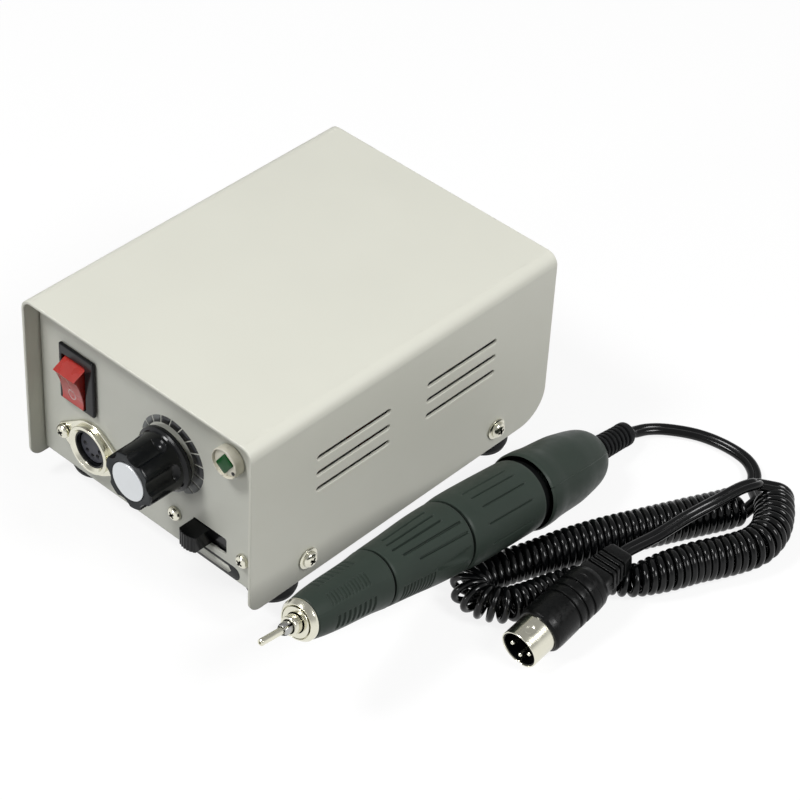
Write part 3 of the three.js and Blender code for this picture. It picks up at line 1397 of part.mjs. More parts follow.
function addCord() {
  const curls = curlLine(curlSteps);
  const fine = curlLine(3 * curlSteps);
  const { gap, length } = leastGap(fine.line, curlRadius, 6 * curlRadius);
  piece(product, 'curly_cord', tubeAlong(curls.line, curlRadius, curlSides), blackVinyl);

  const along = (frame) => new THREE.Vector3(0, 0, 1).applyEuler(frame.rotation);
  const first = curls.line[0];
  const firstAlong = curls.line[1].clone().sub(first).normalize();
  const last = curls.line[curls.line.length - 1];
  const lastAlong = last.clone().sub(curls.line[curls.line.length - 2]).normalize();
  const out = along(handpiece);
  const reliefTip = new THREE.Vector3(0, 0, reliefEnd + fit).applyMatrix4(handpiece.matrix);
  const curlsMouth = first.clone().addScaledVector(firstAlong, -fit);
  const lead = leadGeometry(reliefTip, out, firstLeadRoute, curlsMouth, firstAlong);
  piece(product, 'cord_lead_handpiece', lead.geometry, blackVinyl);
  const back = along(plug).negate();
  const bootEnd = plugShellLength + plugLength + bootLength + fit;
  const bootTip = new THREE.Vector3(0, 0, bootEnd).applyMatrix4(plug.matrix);
  const curlsEnd = last.clone().addScaledVector(lastAlong, fit);
  const tail = leadGeometry(curlsEnd, lastAlong, secondLeadRoute, bootTip, back);
  piece(product, 'cord_lead_plug', tail.geometry, blackVinyl);
  console.log(`curls ${curls.total}, least gap between curls ${gap.toFixed(2)} mm,`,
    `cord ${(lead.length + length + tail.length).toFixed(0)} mm`);
}

addBox();
addPowerSwitch();
addSocket();
addSpeedControl();
addPilotLamp();
addDirectionSwitch();
addTransformer();
addCircuitBoard();
addRearPanel();
addNose();
addChuckSleeve();
addMotorHousing();
addRearCap();
addSpindle();
addMotorParts();
addPlug();
addCord();

// The origin goes under the middle of everything that isn't on the cord.
const onCord = ['curly_cord', 'cord_lead', 'plug_'];
product.updateMatrixWorld(true);
const rigidBox = new THREE.Box3();
product.traverse((object) => {
  if (object.isMesh && !onCord.some((start) => object.name.startsWith(start))) {
    rigidBox.expandByObject(object, true);
  }
});
const middle = rigidBox.getCenter(new THREE.Vector3());
product.position.set(-middle.x, -middle.y, -rigidBox.min.z);

const micromotor = new THREE.Group();
micromotor.add(product);

export default micromotor;
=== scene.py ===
from bisect import bisect_right
import json
import math

import bmesh
import bpy
from mathutils import Matrix, Quaternion, Vector

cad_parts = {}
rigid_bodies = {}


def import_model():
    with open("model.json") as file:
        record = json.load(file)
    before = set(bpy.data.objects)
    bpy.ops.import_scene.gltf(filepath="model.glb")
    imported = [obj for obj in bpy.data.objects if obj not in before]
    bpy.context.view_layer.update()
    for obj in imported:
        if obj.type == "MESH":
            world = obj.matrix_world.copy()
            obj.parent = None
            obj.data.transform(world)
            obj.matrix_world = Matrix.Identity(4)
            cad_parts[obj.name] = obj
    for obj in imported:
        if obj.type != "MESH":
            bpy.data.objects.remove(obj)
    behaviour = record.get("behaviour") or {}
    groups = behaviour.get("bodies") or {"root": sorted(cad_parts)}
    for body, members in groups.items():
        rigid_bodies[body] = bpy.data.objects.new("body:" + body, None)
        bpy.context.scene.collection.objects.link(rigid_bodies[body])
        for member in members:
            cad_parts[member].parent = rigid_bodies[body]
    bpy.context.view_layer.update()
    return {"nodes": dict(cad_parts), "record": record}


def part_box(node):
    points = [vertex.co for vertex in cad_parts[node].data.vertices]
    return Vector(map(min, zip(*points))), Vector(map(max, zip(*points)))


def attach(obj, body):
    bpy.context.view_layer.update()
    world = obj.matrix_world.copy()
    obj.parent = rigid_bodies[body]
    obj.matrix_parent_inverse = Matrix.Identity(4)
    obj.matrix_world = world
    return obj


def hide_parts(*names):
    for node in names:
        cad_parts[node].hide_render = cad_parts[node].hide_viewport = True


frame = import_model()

scene = bpy.context.scene
scene.view_settings.view_transform = "Standard"

# Lengths below are millimetres in the control box's own frame: X and Y from the middle of the box,
# Z from the table. Pieces are stored in metres, in the row frame.
MM = 0.001
low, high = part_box("cover")
SHIFT = Vector(((low.x + high.x) / 2, (low.y + high.y) / 2, 0))
BOX = Matrix.Translation(SHIFT) @ Matrix.Diagonal((MM, MM, MM, 1))

FIT = 0.3
BOX_WIDTH, BOX_DEPTH, BOX_HEIGHT = 105, 141.6, 77
SHEET = 1.2
COVER_LIFT = 8.65
FRONT_Y = -BOX_DEPTH / 2 + 6.2
REAR_Y = BOX_DEPTH / 2 - 3
FOOT_HEIGHT = 9.55
CHASSIS_UNDER = FOOT_HEIGHT + FIT
CHASSIS_TOP = BOX_HEIGHT - SHEET - FIT
CHASSIS_WIDTH = BOX_WIDTH - 2 * (SHEET + FIT)


def turned_about(axis, degrees):
    return Matrix.Rotation(math.radians(degrees), 4, axis)


def wall(turn, x, y):
    return BOX @ Matrix.Translation((x, y, 0)) @ turned_about("Z", turn) @ turned_about("X", 90)


def leaning(origin, yaw, pitch):
    return BOX @ Matrix.Translation(origin) @ turned_about("Z", -yaw) @ turned_about("X", pitch - 90)


FRONT = wall(0, 0, FRONT_Y)
REAR = wall(180, 0, REAR_Y)
RIGHT = wall(90, BOX_WIDTH / 2, 0)
LEFT = wall(-90, -BOX_WIDTH / 2, 0)
HANDPIECE = leaning((86.2, -82.6, 39.45), -3.1, -11.5)
PLUG = leaning((121.2, -20, 7.2), -0.8, 7.5)


def shifted(where, x=0, y=0, z=0):
    return where @ Matrix.Translation((x, y, z))


# Camera
CAMERA_SPOT = (495.17, -513.61, 632.87)
CAMERA_AZIMUTH, CAMERA_ELEVATION, CAMERA_ROLL = 41.011, 40.388, 3.280
camera = bpy.data.objects.new("camera", bpy.data.cameras.new("camera"))
scene.collection.objects.link(camera)
scene.camera = camera
camera.data.sensor_width = 36
camera.data.lens = 125.467
camera.data.clip_start = 0.05
camera.data.clip_end = 20
camera.matrix_world = (Matrix.Translation(BOX @ Vector(CAMERA_SPOT)) @ turned_about("Z", CAMERA_AZIMUTH)
                       @ turned_about("X", 90 - CAMERA_ELEVATION) @ turned_about("Z", CAMERA_ROLL))


# Materials
def fed(tree, node, **inputs):
    """Gives each named input its value or the output that feeds it. An underscore stands for a space."""
    for name, value in inputs.items():
        socket = node.inputs[name.replace("_", " ")]
        if isinstance(value, bpy.types.NodeSocket):
            tree.links.new(value, socket)
        else:
            socket.default_value = value
    return node


def node_of(tree, kind, **inputs):
    return fed(tree, tree.nodes.new("ShaderNode" + kind), **inputs)


def noise_of(tree, scale, detail=3.0, stretch=None):
    source = node_of(tree, "TexCoord").outputs["Object"]
    if stretch:
        source = node_of(tree, "Mapping", Vector=source, Scale=stretch).outputs["Vector"]
    return node_of(tree, "TexNoise", Vector=source, Scale=scale, Detail=detail).outputs["Fac"]


def ranged(tree, source, low_value, high_value):
    return node_of(tree, "MapRange", Value=source, From_Min=0.3, From_Max=0.7, To_Min=low_value,
                   To_Max=high_value).outputs["Result"]


def linear(color):
    return [c / 255 / 12.92 if c <= 10 else ((c / 255 + 0.055) / 1.055) ** 2.4 for c in color]


COAT_ROUGHNESS = 0.12
SUBSURFACE_RADIUS = (0.004, 0.001, 0.0005)
look = {}


def material(name, color, rough, metal=0.0, patch=60, spread=0.06, rough_spread=0.06, grain=(900, 0.01),
             fine=(0, 0), stretch=None, coat=0.0, specular=0.5, subsurface=0.0):
    """Colour and roughness that drift over the surface, and a grain with its depth in millimetres."""
    made = bpy.data.materials.new(name)
    made.use_nodes = True
    tree = made.node_tree
    dark, light = ([min(1, c * (1 + drift)) for c in linear(color)] + [1] for drift in (-spread, spread))
    mix = tree.nodes.new("ShaderNodeMix")
    mix.data_type = "RGBA"
    fed(tree, mix, Factor=ranged(tree, noise_of(tree, patch), 0, 1), A=dark, B=light)
    drifting = noise_of(tree, patch * 5, stretch=stretch)
    normal = {}
    for scale, depth in (grain, fine):
        if depth:
            height = noise_of(tree, scale, 4.0, stretch)
            bump = node_of(tree, "Bump", Strength=1.0, Distance=depth * MM, Height=height, **normal)
            normal = {"Normal": bump.outputs["Normal"]}
    fed(tree, tree.nodes["Principled BSDF"], Base_Color=mix.outputs["Result"], Metallic=metal,
        Roughness=ranged(tree, drifting, rough - rough_spread, rough + rough_spread),
        Specular_IOR_Level=specular, Coat_Weight=coat, Coat_Roughness=COAT_ROUGHNESS,
        Subsurface_Weight=subsurface, Subsurface_Radius=SUBSURFACE_RADIUS, **normal)
    look[name] = made


ENAMEL = dict(patch=25, grain=(700, 0.012), fine=(2600, 0.004))
INK = dict(rough=0.5, grain=(2500, 0.006))
material("cream_enamel", (222, 222, 210), 0.42, spread=0.012, **ENAMEL)
material("grey_enamel", (211, 212, 202), 0.45, spread=0.015, **ENAMEL)
material("black_rubber", (20, 21, 22), 0.6, spread=0.12, grain=(2500, 0.03), specular=0.15)
material("black_plastic", (12, 14, 16), 0.2, spread=0.08, grain=(1800, 0.004), specular=0.26)
material("matt_black_plastic", (37, 40, 42), 0.5, grain=(2200, 0.015), specular=0.2)
material("grey_plastic", (66, 67, 74), 0.5, grain=(1500, 0.01), specular=0.3)
material("red_plastic", (196, 52, 42), 0.3, spread=0.05, grain=(900, 0.004), coat=0.2, subsurface=0.4)
# Darker metal for the insides of the screws' cross recesses: painted shade
material("recess_painted_shade", (48, 46, 41), 0.35, 1.0, spread=0.1, grain=(900, 0.004))
material("white_plastic", (226, 222, 206), 0.35, spread=0.02, grain=(900, 0.004))
material("green_lens", (10, 78, 30), 0.3, spread=0.1, grain=(500, 0.02), specular=0.2, subsurface=0.1)
material("handpiece_coat", (52, 61, 55), 0.42, patch=80, spread=0.05, rough_spread=0.05,
         grain=(3200, 0.006), specular=0.14)
material("nickel", (222, 220, 204), 0.2, 1.0, spread=0.03, rough_spread=0.05, grain=(1200, 0.002))
material("steel", (180, 180, 178), 0.3, 1.0, spread=0.04, grain=(1500, 0.004))
material("spun_aluminium", (214, 217, 219), 0.38, 1.0, spread=0.02, grain=(1500, 0.002))
material("laminations", (92, 95, 98), 0.5, 0.7, grain=(900, 0.02), stretch=(1, 12, 1))
material("copper", (180, 98, 55), 0.35, 0.9, grain=(900, 0.05), stretch=(1, 1, 8))
material("circuit_green", (45, 105, 68), 0.4, spread=0.1, grain=(600, 0.02))
material("ferrite", (58, 59, 61), 0.7, grain=(1200, 0.02))
material("carbon", (30, 31, 33), 0.7, grain=(1200, 0.02))
material("black_vinyl", (7, 8, 9), 0.17, spread=0.12, rough_spread=0.05, grain=(700, 0.006), specular=0.3)
material("plug_rubber", (11, 12, 12), 0.34, patch=140, spread=0.35, rough_spread=0.15, grain=(1500, 0.02),
         fine=(300, 0.02), specular=0.16)
material("black_ink", (30, 31, 33), spread=0.08, **INK)
material("grey_ink", (96, 99, 98), spread=0.05, **INK)
material("pale_ink", (226, 200, 196), spread=0.04, **INK)
# Near-black for the gaps between pieces: painted shade
material("dark_gap", (6, 7, 7), 0.6, spread=0.1, grain=(1500, 0.01), specular=0.1)


def shade(mesh, angle):
    mesh.polygons.foreach_set("use_smooth", [True] * len(mesh.polygons))
    mesh.set_sharp_from_angle(angle=math.radians(angle))


for entry in frame["record"]["subparts"]:
    node = frame["nodes"][entry["node"]]
    node.data.materials.clear()
    node.data.materials.append(look[entry["material_slot"]])
    shade(node.data, 32)

# Mesh helpers
NEAR = 1e-4
BEVEL_ANGLE = math.radians(35)
STRAIGHT = math.radians(88)
MOST_OF_HALF = 0.49


def modify(obj, kind, **settings):
    modifier = obj.modifiers.new(kind.lower(), kind)
    for name, value in settings.items():
        setattr(modifier, name, value)


def linked(name, data):
    obj = bpy.data.objects.new(name, data)
    scene.collection.objects.link(obj)
    return obj


def mesh_of(name, bm):
    mesh = bpy.data.meshes.new(name)
    bm.to_mesh(mesh)
    bm.free()
    return mesh


def store(name, bm, where, skin, body="root", nodes=(), angle=35, weighted=False, bevel=0.0):
    """Puts a bmesh of millimetres in its place and makes it a piece of the object."""
    bmesh.ops.remove_doubles(bm, verts=bm.verts[:], dist=NEAR)
    bmesh.ops.recalc_face_normals(bm, faces=bm.faces[:])
    mesh = mesh_of(name, bm)
    mesh.transform(where)
    skins = [skin] if isinstance(skin, str) else skin
    for one in skins:
        mesh.materials.append(look[one])
    shade(mesh, angle)
    obj = linked(name, mesh)
    if bevel:
        modify(obj, "BEVEL", width=bevel * MM, segments=3, limit_method="ANGLE", angle_limit=BEVEL_ANGLE,
               harden_normals=True)
    if weighted:
        modify(obj, "WEIGHTED_NORMAL", keep_sharp=True)
    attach(obj, body)
    if nodes:
        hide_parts(*nodes)
    return obj


def rounded(points, radius, steps=4, closed=True):
    """A 2D line whose corners are rounded. A third number at a corner is its own radius."""
    out = []
    count = len(points)
    for i, point in enumerate(points):
        here = Vector(point[:2])
        wish = point[2] if len(point) > 2 else radius
        into = Vector(points[i - 1][:2]) - here
        away = Vector(points[(i + 1) % count][:2]) - here
        half = into.angle(away, math.pi) / 2
        if wish <= 0 or (not closed and i in (0, count - 1)) or half > STRAIGHT:
            out.append(here)
            continue
        reach = min(wish / math.tan(half), MOST_OF_HALF * into.length, MOST_OF_HALF * away.length)
        size = reach * math.tan(half)
        centre = here + (into.normalized() + away.normalized()).normalized() * (size / math.sin(half))
        first = here + into.normalized() * reach - centre
        last = here + away.normalized() * reach - centre
        sweep = math.atan2(first.x * last.y - first.y * last.x, first.dot(last))
        out += [centre + Matrix.Rotation(sweep * k / steps, 2) @ first for k in range(steps + 1)]
    return out


def turns(count):
    return [2 * math.pi * i / count for i in range(count)]


def circle(radius, x=0, y=0, count=32):
    return [Vector((x + radius * math.cos(angle), y + radius * math.sin(angle))) for angle in turns(count)]


def rectangle(width, height, x=0, y=0):
    corners = ((-1, -1), (1, -1), (1, 1), (-1, 1))
    return [(x + across * width / 2, y + up * height / 2) for across, up in corners]


def level_ring(outline, z):
    return [Vector((p.x, p.y, z)) for p in outline]


def lathe(profile, segments=64, closed=False):
    bm = bmesh.new()
    rings = []
    for radius, height in profile:
        spots = circle(radius, count=segments) if radius > 1e-6 else [(0, 0)]
        rings.append([bm.verts.new((*spot, height)) for spot in spots])
    for a, b in list(zip(rings, rings[1:])) + ([(rings[-1], rings[0])] if closed else []):
        for i in range(segments):
            k = (i + 1) % segments
            face = [a[i % len(a)], a[k % len(a)], b[k % len(b)], b[i % len(b)]]
            face = [v for j, v in enumerate(face) if v not in face[:j]]
            if len(face) > 2:
                bm.faces.new(face)
    return bm


def soft_lathe(profile, radius, segments=64, closed=False):
    return lathe([tuple(p) for p in rounded(profile, radius, 3, closed)], segments, closed)


def loft(rings, caps=True, closed=False):
    bm = bmesh.new()
    made = [[bm.verts.new(p) for p in ring] for ring in rings]
    count = len(rings[0])
    for a, b in list(zip(made, made[1:])) + ([(made[-1], made[0])] if closed else []):
        for i in range(count):
            k = (i + 1) % count
            bm.faces.new((a[i], a[k], b[k], b[i]))
    if caps and not closed:
        bm.faces.new(list(reversed(made[0])))
        bm.faces.new(made[-1])
    return bm


def moved(bm, matrix):
    bmesh.ops.transform(bm, matrix=matrix, verts=bm.verts[:])
    return bm


def raised(bm, z):
    return moved(bm, Matrix.Translation((0, 0, z)))


def settled(obj, *others):
    """The bmesh of an object with its modifiers applied. It and the others are deleted."""
    bpy.context.view_layer.update()
    mesh = bpy.data.meshes.new_from_object(obj.evaluated_get(bpy.context.evaluated_depsgraph_get()))
    bm = bmesh.new()
    bm.from_mesh(mesh)
    used = [obj, *others]
    bpy.data.batch_remove([mesh, *(one.data for one in used), *used])
    return bm


def plate(outline, holes, thickness, edge, bevel_steps=2):
    """A flat sheet from Z = -thickness to 0, its edges and the edges of its holes rounded."""
    data = bpy.data.curves.new("outline", "CURVE")
    data.dimensions = "2D"
    data.fill_mode = "BOTH"
    data.extrude = thickness / 2 - edge
    data.bevel_depth = edge
    data.bevel_resolution = bevel_steps
    data.offset = -edge
    for ring in [outline, *holes]:
        spline = data.splines.new("POLY")
        spline.points.add(len(ring) - 1)
        for point, spot in zip(spline.points, ring):
            point.co = (spot[0], spot[1], 0, 1)
        spline.use_cyclic_u = True
    bm = settled(linked("outline", data))
    bmesh.ops.remove_doubles(bm, verts=bm.verts[:], dist=NEAR)
    return raised(bm, -thickness / 2)


def merged(*meshes):
    whole = meshes[0]
    for other in meshes[1:]:
        temporary = mesh_of("part", other)
        whole.from_mesh(temporary)
        bpy.data.meshes.remove(temporary)
    return whole


def box_mesh(width, depth, height, x=0, y=0, z=0):
    bm = bmesh.new()
    bmesh.ops.create_cube(bm, size=1)
    return moved(bm, Matrix.Translation((x, y, z)) @ Matrix.Diagonal((width, depth, height, 1)))


def carved(*parts):
    """The first bmesh less the others, by exact booleans."""
    objects = []
    for part in parts:
        bmesh.ops.recalc_face_normals(part, faces=part.faces[:])
        objects.append(linked("carve", mesh_of("carve", part)))
    for cutter in objects[1:]:
        modify(objects[0], "BOOLEAN", operation="DIFFERENCE", solver="EXACT", object=cutter)
    return settled(*objects)


def share_at(table, share):
    """A smooth line through a table of shares that never overshoots it."""
    xs, ys = zip(*table)
    slopes = [(ys[i + 1] - ys[i]) / (xs[i + 1] - xs[i]) for i in range(len(xs) - 1)]
    tangents = [0 if a * b <= 0 else 2 * a * b / (a + b) for a, b in zip(slopes, slopes[1:])]
    tangents = [slopes[0], *tangents, slopes[-1]]
    share = min(max(share, xs[0]), xs[-1])
    i = max(k for k in range(len(xs) - 1) if xs[k] <= share or k == 0)
    width = xs[i + 1] - xs[i]
    t = (share - xs[i]) / width
    return ((2 * t ** 3 - 3 * t ** 2 + 1) * ys[i] + (t ** 3 - 2 * t ** 2 + t) * width * tangents[i]
            + (3 * t ** 2 - 2 * t ** 3) * ys[i + 1] + (t ** 3 - t ** 2) * width * tangents[i + 1])


def smooth(value, start, end):
    t = min(max((value - start) / (end - start), 0), 1)
    return t * t * (3 - 2 * t)


# Cord: the routes of the CAD source, repeated
LEAD_RADIUS = 1.9
CURL_RADIUS = 1.12
CURL_SHOWN = 1.24
LOBE_SPREAD, LOBE_RADIUS = 1.05, 1.38
CURL_GAP = 0.3
BEND_LIMIT = 0.78
BEND_EASE = 0.55
CURL_LIFT = 0.25
CURL_ENTRY = 1.5
ENTRY_OPENING = 0.8
BOOT_ENTRY = 49.5
ROUNDING_STEPS, FLATTENING_STEPS, TWIST_STEPS = 16, 20, 120
FIRST_LEAD = [
    (77.3, 90.3, 3.4), (79.3, 95.6, 2.7), (83.4, 100.6, 2.3), (93.3, 106.7, 2.2), (103.8, 109.1, 2.2),
    (113.4, 108.4, 2.2), (119.3, 104.8, 2.2), (123.4, 99, 2.2),
]
CURL_ROUTE = [
    (128.8, 89.2, 13.4, 13.4), (127.2, 80.5, 13.6, 13.8), (120.6, 66.6, 13.6, 14), (113.6, 52.4, 13.6, 14),
    (106.8, 38.4, 13.6, 14), (100.9, 25.6, 13.2, 13.2), (96.4, 15, 12.4, 12), (91.8, 5, 13.2, 10.4),
    (89.2, -3.2, 13.8, 10.4), (91.2, -9.6, 13.4, 11), (97.4, -11.4, 12, 12), (104, -7.8, 11.6, 12),
    (106.8, -0.6, 11, 11.2), (107.6, 7, 9.6, 9.6), (109, 14.2, 8.6, 8.6), (112.6, 21.6, 8.6, 8.6),
    (118.6, 26, 8.6, 8.4), (125, 31, 11, 10), (131, 40.8, 13.2, 13.4), (135.6, 51.4, 13.6, 14),
    (140.9, 61.6, 13.6, 14), (144.4, 71.4, 13.6, 14), (143.6, 80.4, 13.6, 14), (139.8, 88, 13.6, 14),
    (135.2, 93.8, 13.6, 14),
]
SECOND_LEAD = [
    (130.9, 88, 15.8), (129.3, 82, 16.6), (127, 70.5, 15.9), (124.3, 59.2, 14.6), (122.4, 46.5, 13.6),
]


def spline_point(points, t, power=None):
    """A point of a Catmull-Rom line through the points: uniform, or spaced by that power."""
    w = (len(points) - 1) * t
    i = min(int(w), len(points) - 2)
    w -= i
    p1, p2 = points[i], points[i + 1]
    p0 = points[i - 1] if i > 0 else p1 * 2 - p2
    p3 = points[i + 2] if i + 2 < len(points) else p2 * 2 - p1
    if power is None:
        t1, t2 = (p2 - p0) / 2, (p3 - p1) / 2
    else:
        d0, d1, d2 = ((b - a).length_squared ** power for a, b in ((p0, p1), (p1, p2), (p2, p3)))
        d1 = d1 if d1 > NEAR else 1
        d0, d2 = (d if d > NEAR else d1 for d in (d0, d2))
        t1 = ((p1 - p0) / d0 - (p2 - p0) / (d0 + d1) + (p2 - p1) / d1) * d1
        t2 = ((p2 - p1) / d1 - (p3 - p1) / (d1 + d2) + (p3 - p2) / d2) * d1
    return (p1 + t1 * w + (p2 * 3 - p1 * 3 - t1 * 2 - t2) * w ** 2 + (p1 * 2 - p2 * 2 + t1 + t2) * w ** 3)


def curl_line(steps_per_turn, samples=1500):
    """The curly part's centreline: a helix whose width, height and pitch follow its route."""
    axis = [Vector((x, y, 0)) for x, y, _, _ in CURL_ROUTE]
    girth = [Vector((width, height, 0)) for _, _, width, height in CURL_ROUTE]
    spots = [spline_point(axis, i / samples) for i in range(samples + 1)]
    sizes = [spline_point(girth, i / samples) for i in range(samples + 1)]

    def bearing(i):
        return (spots[min(i + 1, samples)] - spots[max(i - 1, 0)]).normalized()

    bearings = [bearing(i) for i in range(samples + 1)]
    wound = [0.0]
    walked = 0.0
    for i in range(1, samples + 1):
        step = (spots[i] - spots[i - 1]).length
        walked += step
        bend = 0
        if i < samples:
            bend = (bearings[i + 1] - bearings[i - 1]).length / (spots[i + 1] - spots[i - 1]).length
        reach = sizes[i].x / 2 - CURL_RADIUS
        pitch = (2 * CURL_RADIUS + CURL_GAP) / max(BEND_LIMIT, 1 - BEND_EASE * reach * bend)
        if walked > 2 * CURL_RADIUS:
            pitch *= 1 + ENTRY_OPENING * (1 - min(1, wound[-1] / CURL_ENTRY))
            wound.append(wound[-1] + step / pitch)
        else:
            wound.append(0.0)

    def at(turn):
        k = max(min(bisect_right(wound, turn), samples), 1)
        share = (turn - wound[k - 1]) / (wound[k] - wound[k - 1]) if wound[k] > wound[k - 1] else 0
        spot, along, size = (row[k - 1].lerp(row[k], share) for row in (spots, bearings, sizes))
        left = Vector((-along.y, along.x, 0)).normalized()
        opened = smooth(turn, 0, CURL_ENTRY)
        angle = 2 * math.pi * turn
        spot += left * ((size.x / 2 - CURL_RADIUS) * opened * math.sin(angle))
        spot.z = CURL_LIFT + CURL_RADIUS + (size.y / 2 - CURL_RADIUS) * opened * (1 + math.cos(angle))
        return spot

    total = math.floor(wound[-1])
    start = Vector((spots[0].x, spots[0].y, CURL_LIFT + LEAD_RADIUS))
    line = [start] + [at(i / steps_per_turn) for i in range(total * steps_per_turn + 1)]
    leaving = (line[-1] - at(total - 0.02)).normalized()
    return line + [line[-1] + leaving * 2 * CURL_RADIUS]


def lead_line(start, start_along, route, end, end_along, spacing=0.8, samples=2000):
    run = 2 * LEAD_RADIUS
    points = [start, start + start_along * run / 2, start + start_along * run, *(Vector(p) for p in route),
              end - end_along * run, end - end_along * run / 2, end]
    fine = [spline_point(points, i / samples, 0.25) for i in range(samples + 1)]
    out = [fine[0]]
    walked = 0
    for a, b in zip(fine, fine[1:]):
        walked += (b - a).length
        if walked >= spacing:
            out.append(b)
            walked = 0
    out[-1] = fine[-1]
    return out


def axis_of(where):
    return (where.to_3x3() @ Vector((0, 0, 1))).normalized()


def cord_section(share, count=28):
    """The cord's section: two wires side by side at share 0, round at share 1."""
    points = []
    for way in circle(1, count=count):
        radius = LOBE_SPREAD * abs(way.x) + math.sqrt(LOBE_RADIUS ** 2 - (LOBE_SPREAD * way.y) ** 2)
        points.append((way * radius).lerp(way * CURL_SHOWN, share))
    return points


def cord_rings(first_lead, curls, second_lead):
    """The cord's sections. Its flat side lies level in the leads and is carried along through the curls."""
    line = first_lead + curls + second_lead
    first_count, last_start = len(first_lead), len(first_lead) + len(curls)
    end = len(line) - 1
    tangents = [(line[min(i + 1, end)] - line[max(i - 1, 0)]).normalized() for i in range(end + 1)]
    carried = None
    sides = []
    for i, tangent in enumerate(tangents):
        level = Vector((tangent.y, -tangent.x, 0)).normalized()
        if first_count <= i <= last_start:
            carried = tangents[i - 1].rotation_difference(tangent) @ sides[-1]
            carried = (carried - tangent * carried.dot(tangent)).normalized()
        sides.append(carried if first_count <= i < last_start else level)
    goal = sides[last_start]
    miss = math.atan2(carried.cross(goal).dot(tangents[last_start]), carried.dot(goal))
    rings = []
    for i, (spot, tangent, side) in enumerate(zip(line, tangents, sides)):
        if i < last_start:
            side = Quaternion(tangent, miss * smooth(i, last_start - TWIST_STEPS, last_start)) @ side
        share = min(smooth(i, first_count - 2, first_count + ROUNDING_STEPS),
                    1 - smooth(i, last_start - FLATTENING_STEPS, last_start))
        up = side.cross(tangent)
        rings.append([spot + side * p.x + up * p.y for p in cord_section(share)])
    return rings


to_box = BOX.inverted()
to_handpiece = HANDPIECE.inverted()
relief_end = max((to_handpiece @ v.co).z for v in frame["nodes"]["strain_relief"].data.vertices)
relief_tip = to_box @ (HANDPIECE @ Vector((0, 0, relief_end + FIT)))
boot_tip = to_box @ (PLUG @ Vector((0, 0, BOOT_ENTRY)))
curls, coarse = (curl_line(steps) for steps in (32, 8))
first_along = (coarse[1] - coarse[0]).normalized()
last_along = (coarse[-1] - coarse[-2]).normalized()
first_lead = lead_line(relief_tip, axis_of(HANDPIECE), FIRST_LEAD, curls[0] - first_along * FIT,
                       first_along)
second_lead = lead_line(curls[-1] + last_along * FIT, last_along, SECOND_LEAD, boot_tip, -axis_of(PLUG))
cord = store("cord", loft(cord_rings(first_lead, curls, second_lead)), BOX, "black_vinyl",
             nodes=("curly_cord", "cord_lead_handpiece", "cord_lead_plug"), angle=60)


# Sheet metal, folded at right angles from a flat pattern
class Fold:
    """A folded sheet. U runs along its outer face from the path's start, W runs into it."""

    def __init__(self, path, bend):
        self.bend = bend
        self.runs = []
        self.flats = []
        self.length = 0
        points = [Vector(p) for p in path]
        for i in range(len(points) - 1):
            along = (points[i + 1] - points[i]).normalized()
            start = points[i] + along * (bend if i else 0)
            last = i + 2 == len(points)
            end = points[i + 1] - along * (0 if last else bend)
            self.flats.append((self.length, bend if i else 0))
            self.runs.append((self.length, (end - start).length, start, along, None))
            self.length += (end - start).length
            if not last:
                after = (points[i + 2] - points[i + 1]).normalized()
                centre = points[i + 1] - along * bend + after * bend
                self.runs.append((self.length, bend * math.pi / 2, centre, along, after))
                self.length += bend * math.pi / 2

    def spot(self, segment, distance):
        """U of a place on a flat, by its distance from the corner where that flat's line starts."""
        start, inset = self.flats[segment]
        return start + distance - inset

    def at(self, u, w):
        run = next((r for r in self.runs if u <= r[0] + r[1] + 1e-6), self.runs[-1])
        start, _, origin, along, after = run
        if after is None:
            return origin + along * (u - start) + Vector((along.y, -along.x)) * w
        turn = (u - start) / self.bend
        return origin + (along * math.sin(turn) - after * math.cos(turn)) * (self.bend - w)

    def folded(self, outline, holes, thickness, edge, to_space, steps=8):
        bm = plate(outline, holes, thickness, edge)
        for start, length, _, _, after in self.runs:
            for k in range(steps + 1 if after else 0):
                bmesh.ops.bisect_plane(bm, geom=bm.verts[:] + bm.edges[:] + bm.faces[:], dist=NEAR,
                                       plane_co=(start + length * k / steps, 0, 0), plane_no=(1, 0, 0))
        for vertex in bm.verts:
            place = self.at(vertex.co.x, -vertex.co.z)
            vertex.co = to_space(place, vertex.co.y)
        return bm


def slot_outline(length, height, u, v, steps=6):
    """A slot with round ends, its length along V."""
    out = []
    radius = height / 2
    for end, start in ((1, 0), (-1, 180)):
        for k in range(steps + 1):
            angle = math.radians(start + 180 * k / steps)
            out.append(Vector((u + radius * math.cos(angle),
                               v + end * (length / 2 - radius) + radius * math.sin(angle))))
    return out


COVER_SHANK, PANEL_SHANK = 1.45, 1.25
VENT_LENGTH, VENT_HEIGHT, VENT_PITCH, VENT_GAP, VENT_DROP = 33.3, 2, 6.6, 17.3, 20
SCREW_Z, SCREW_INSET = CHASSIS_UNDER + 7.15, 25.6
SCREW_YS = (-BOX_DEPTH / 2 + SCREW_INSET, BOX_DEPTH / 2 - SCREW_INSET)
COVER_BEND, FRONT_CORNER, REAR_CORNER = 4.5, 5, 12

half, front, rear = BOX_WIDTH / 2, -BOX_DEPTH / 2, BOX_DEPTH / 2
cover = Fold([(-half, COVER_LIFT), (-half, BOX_HEIGHT), (half, BOX_HEIGHT), (half, COVER_LIFT)], COVER_BEND)


def on_sides(z):
    return cover.spot(0, z - COVER_LIFT), cover.spot(2, BOX_HEIGHT - z)


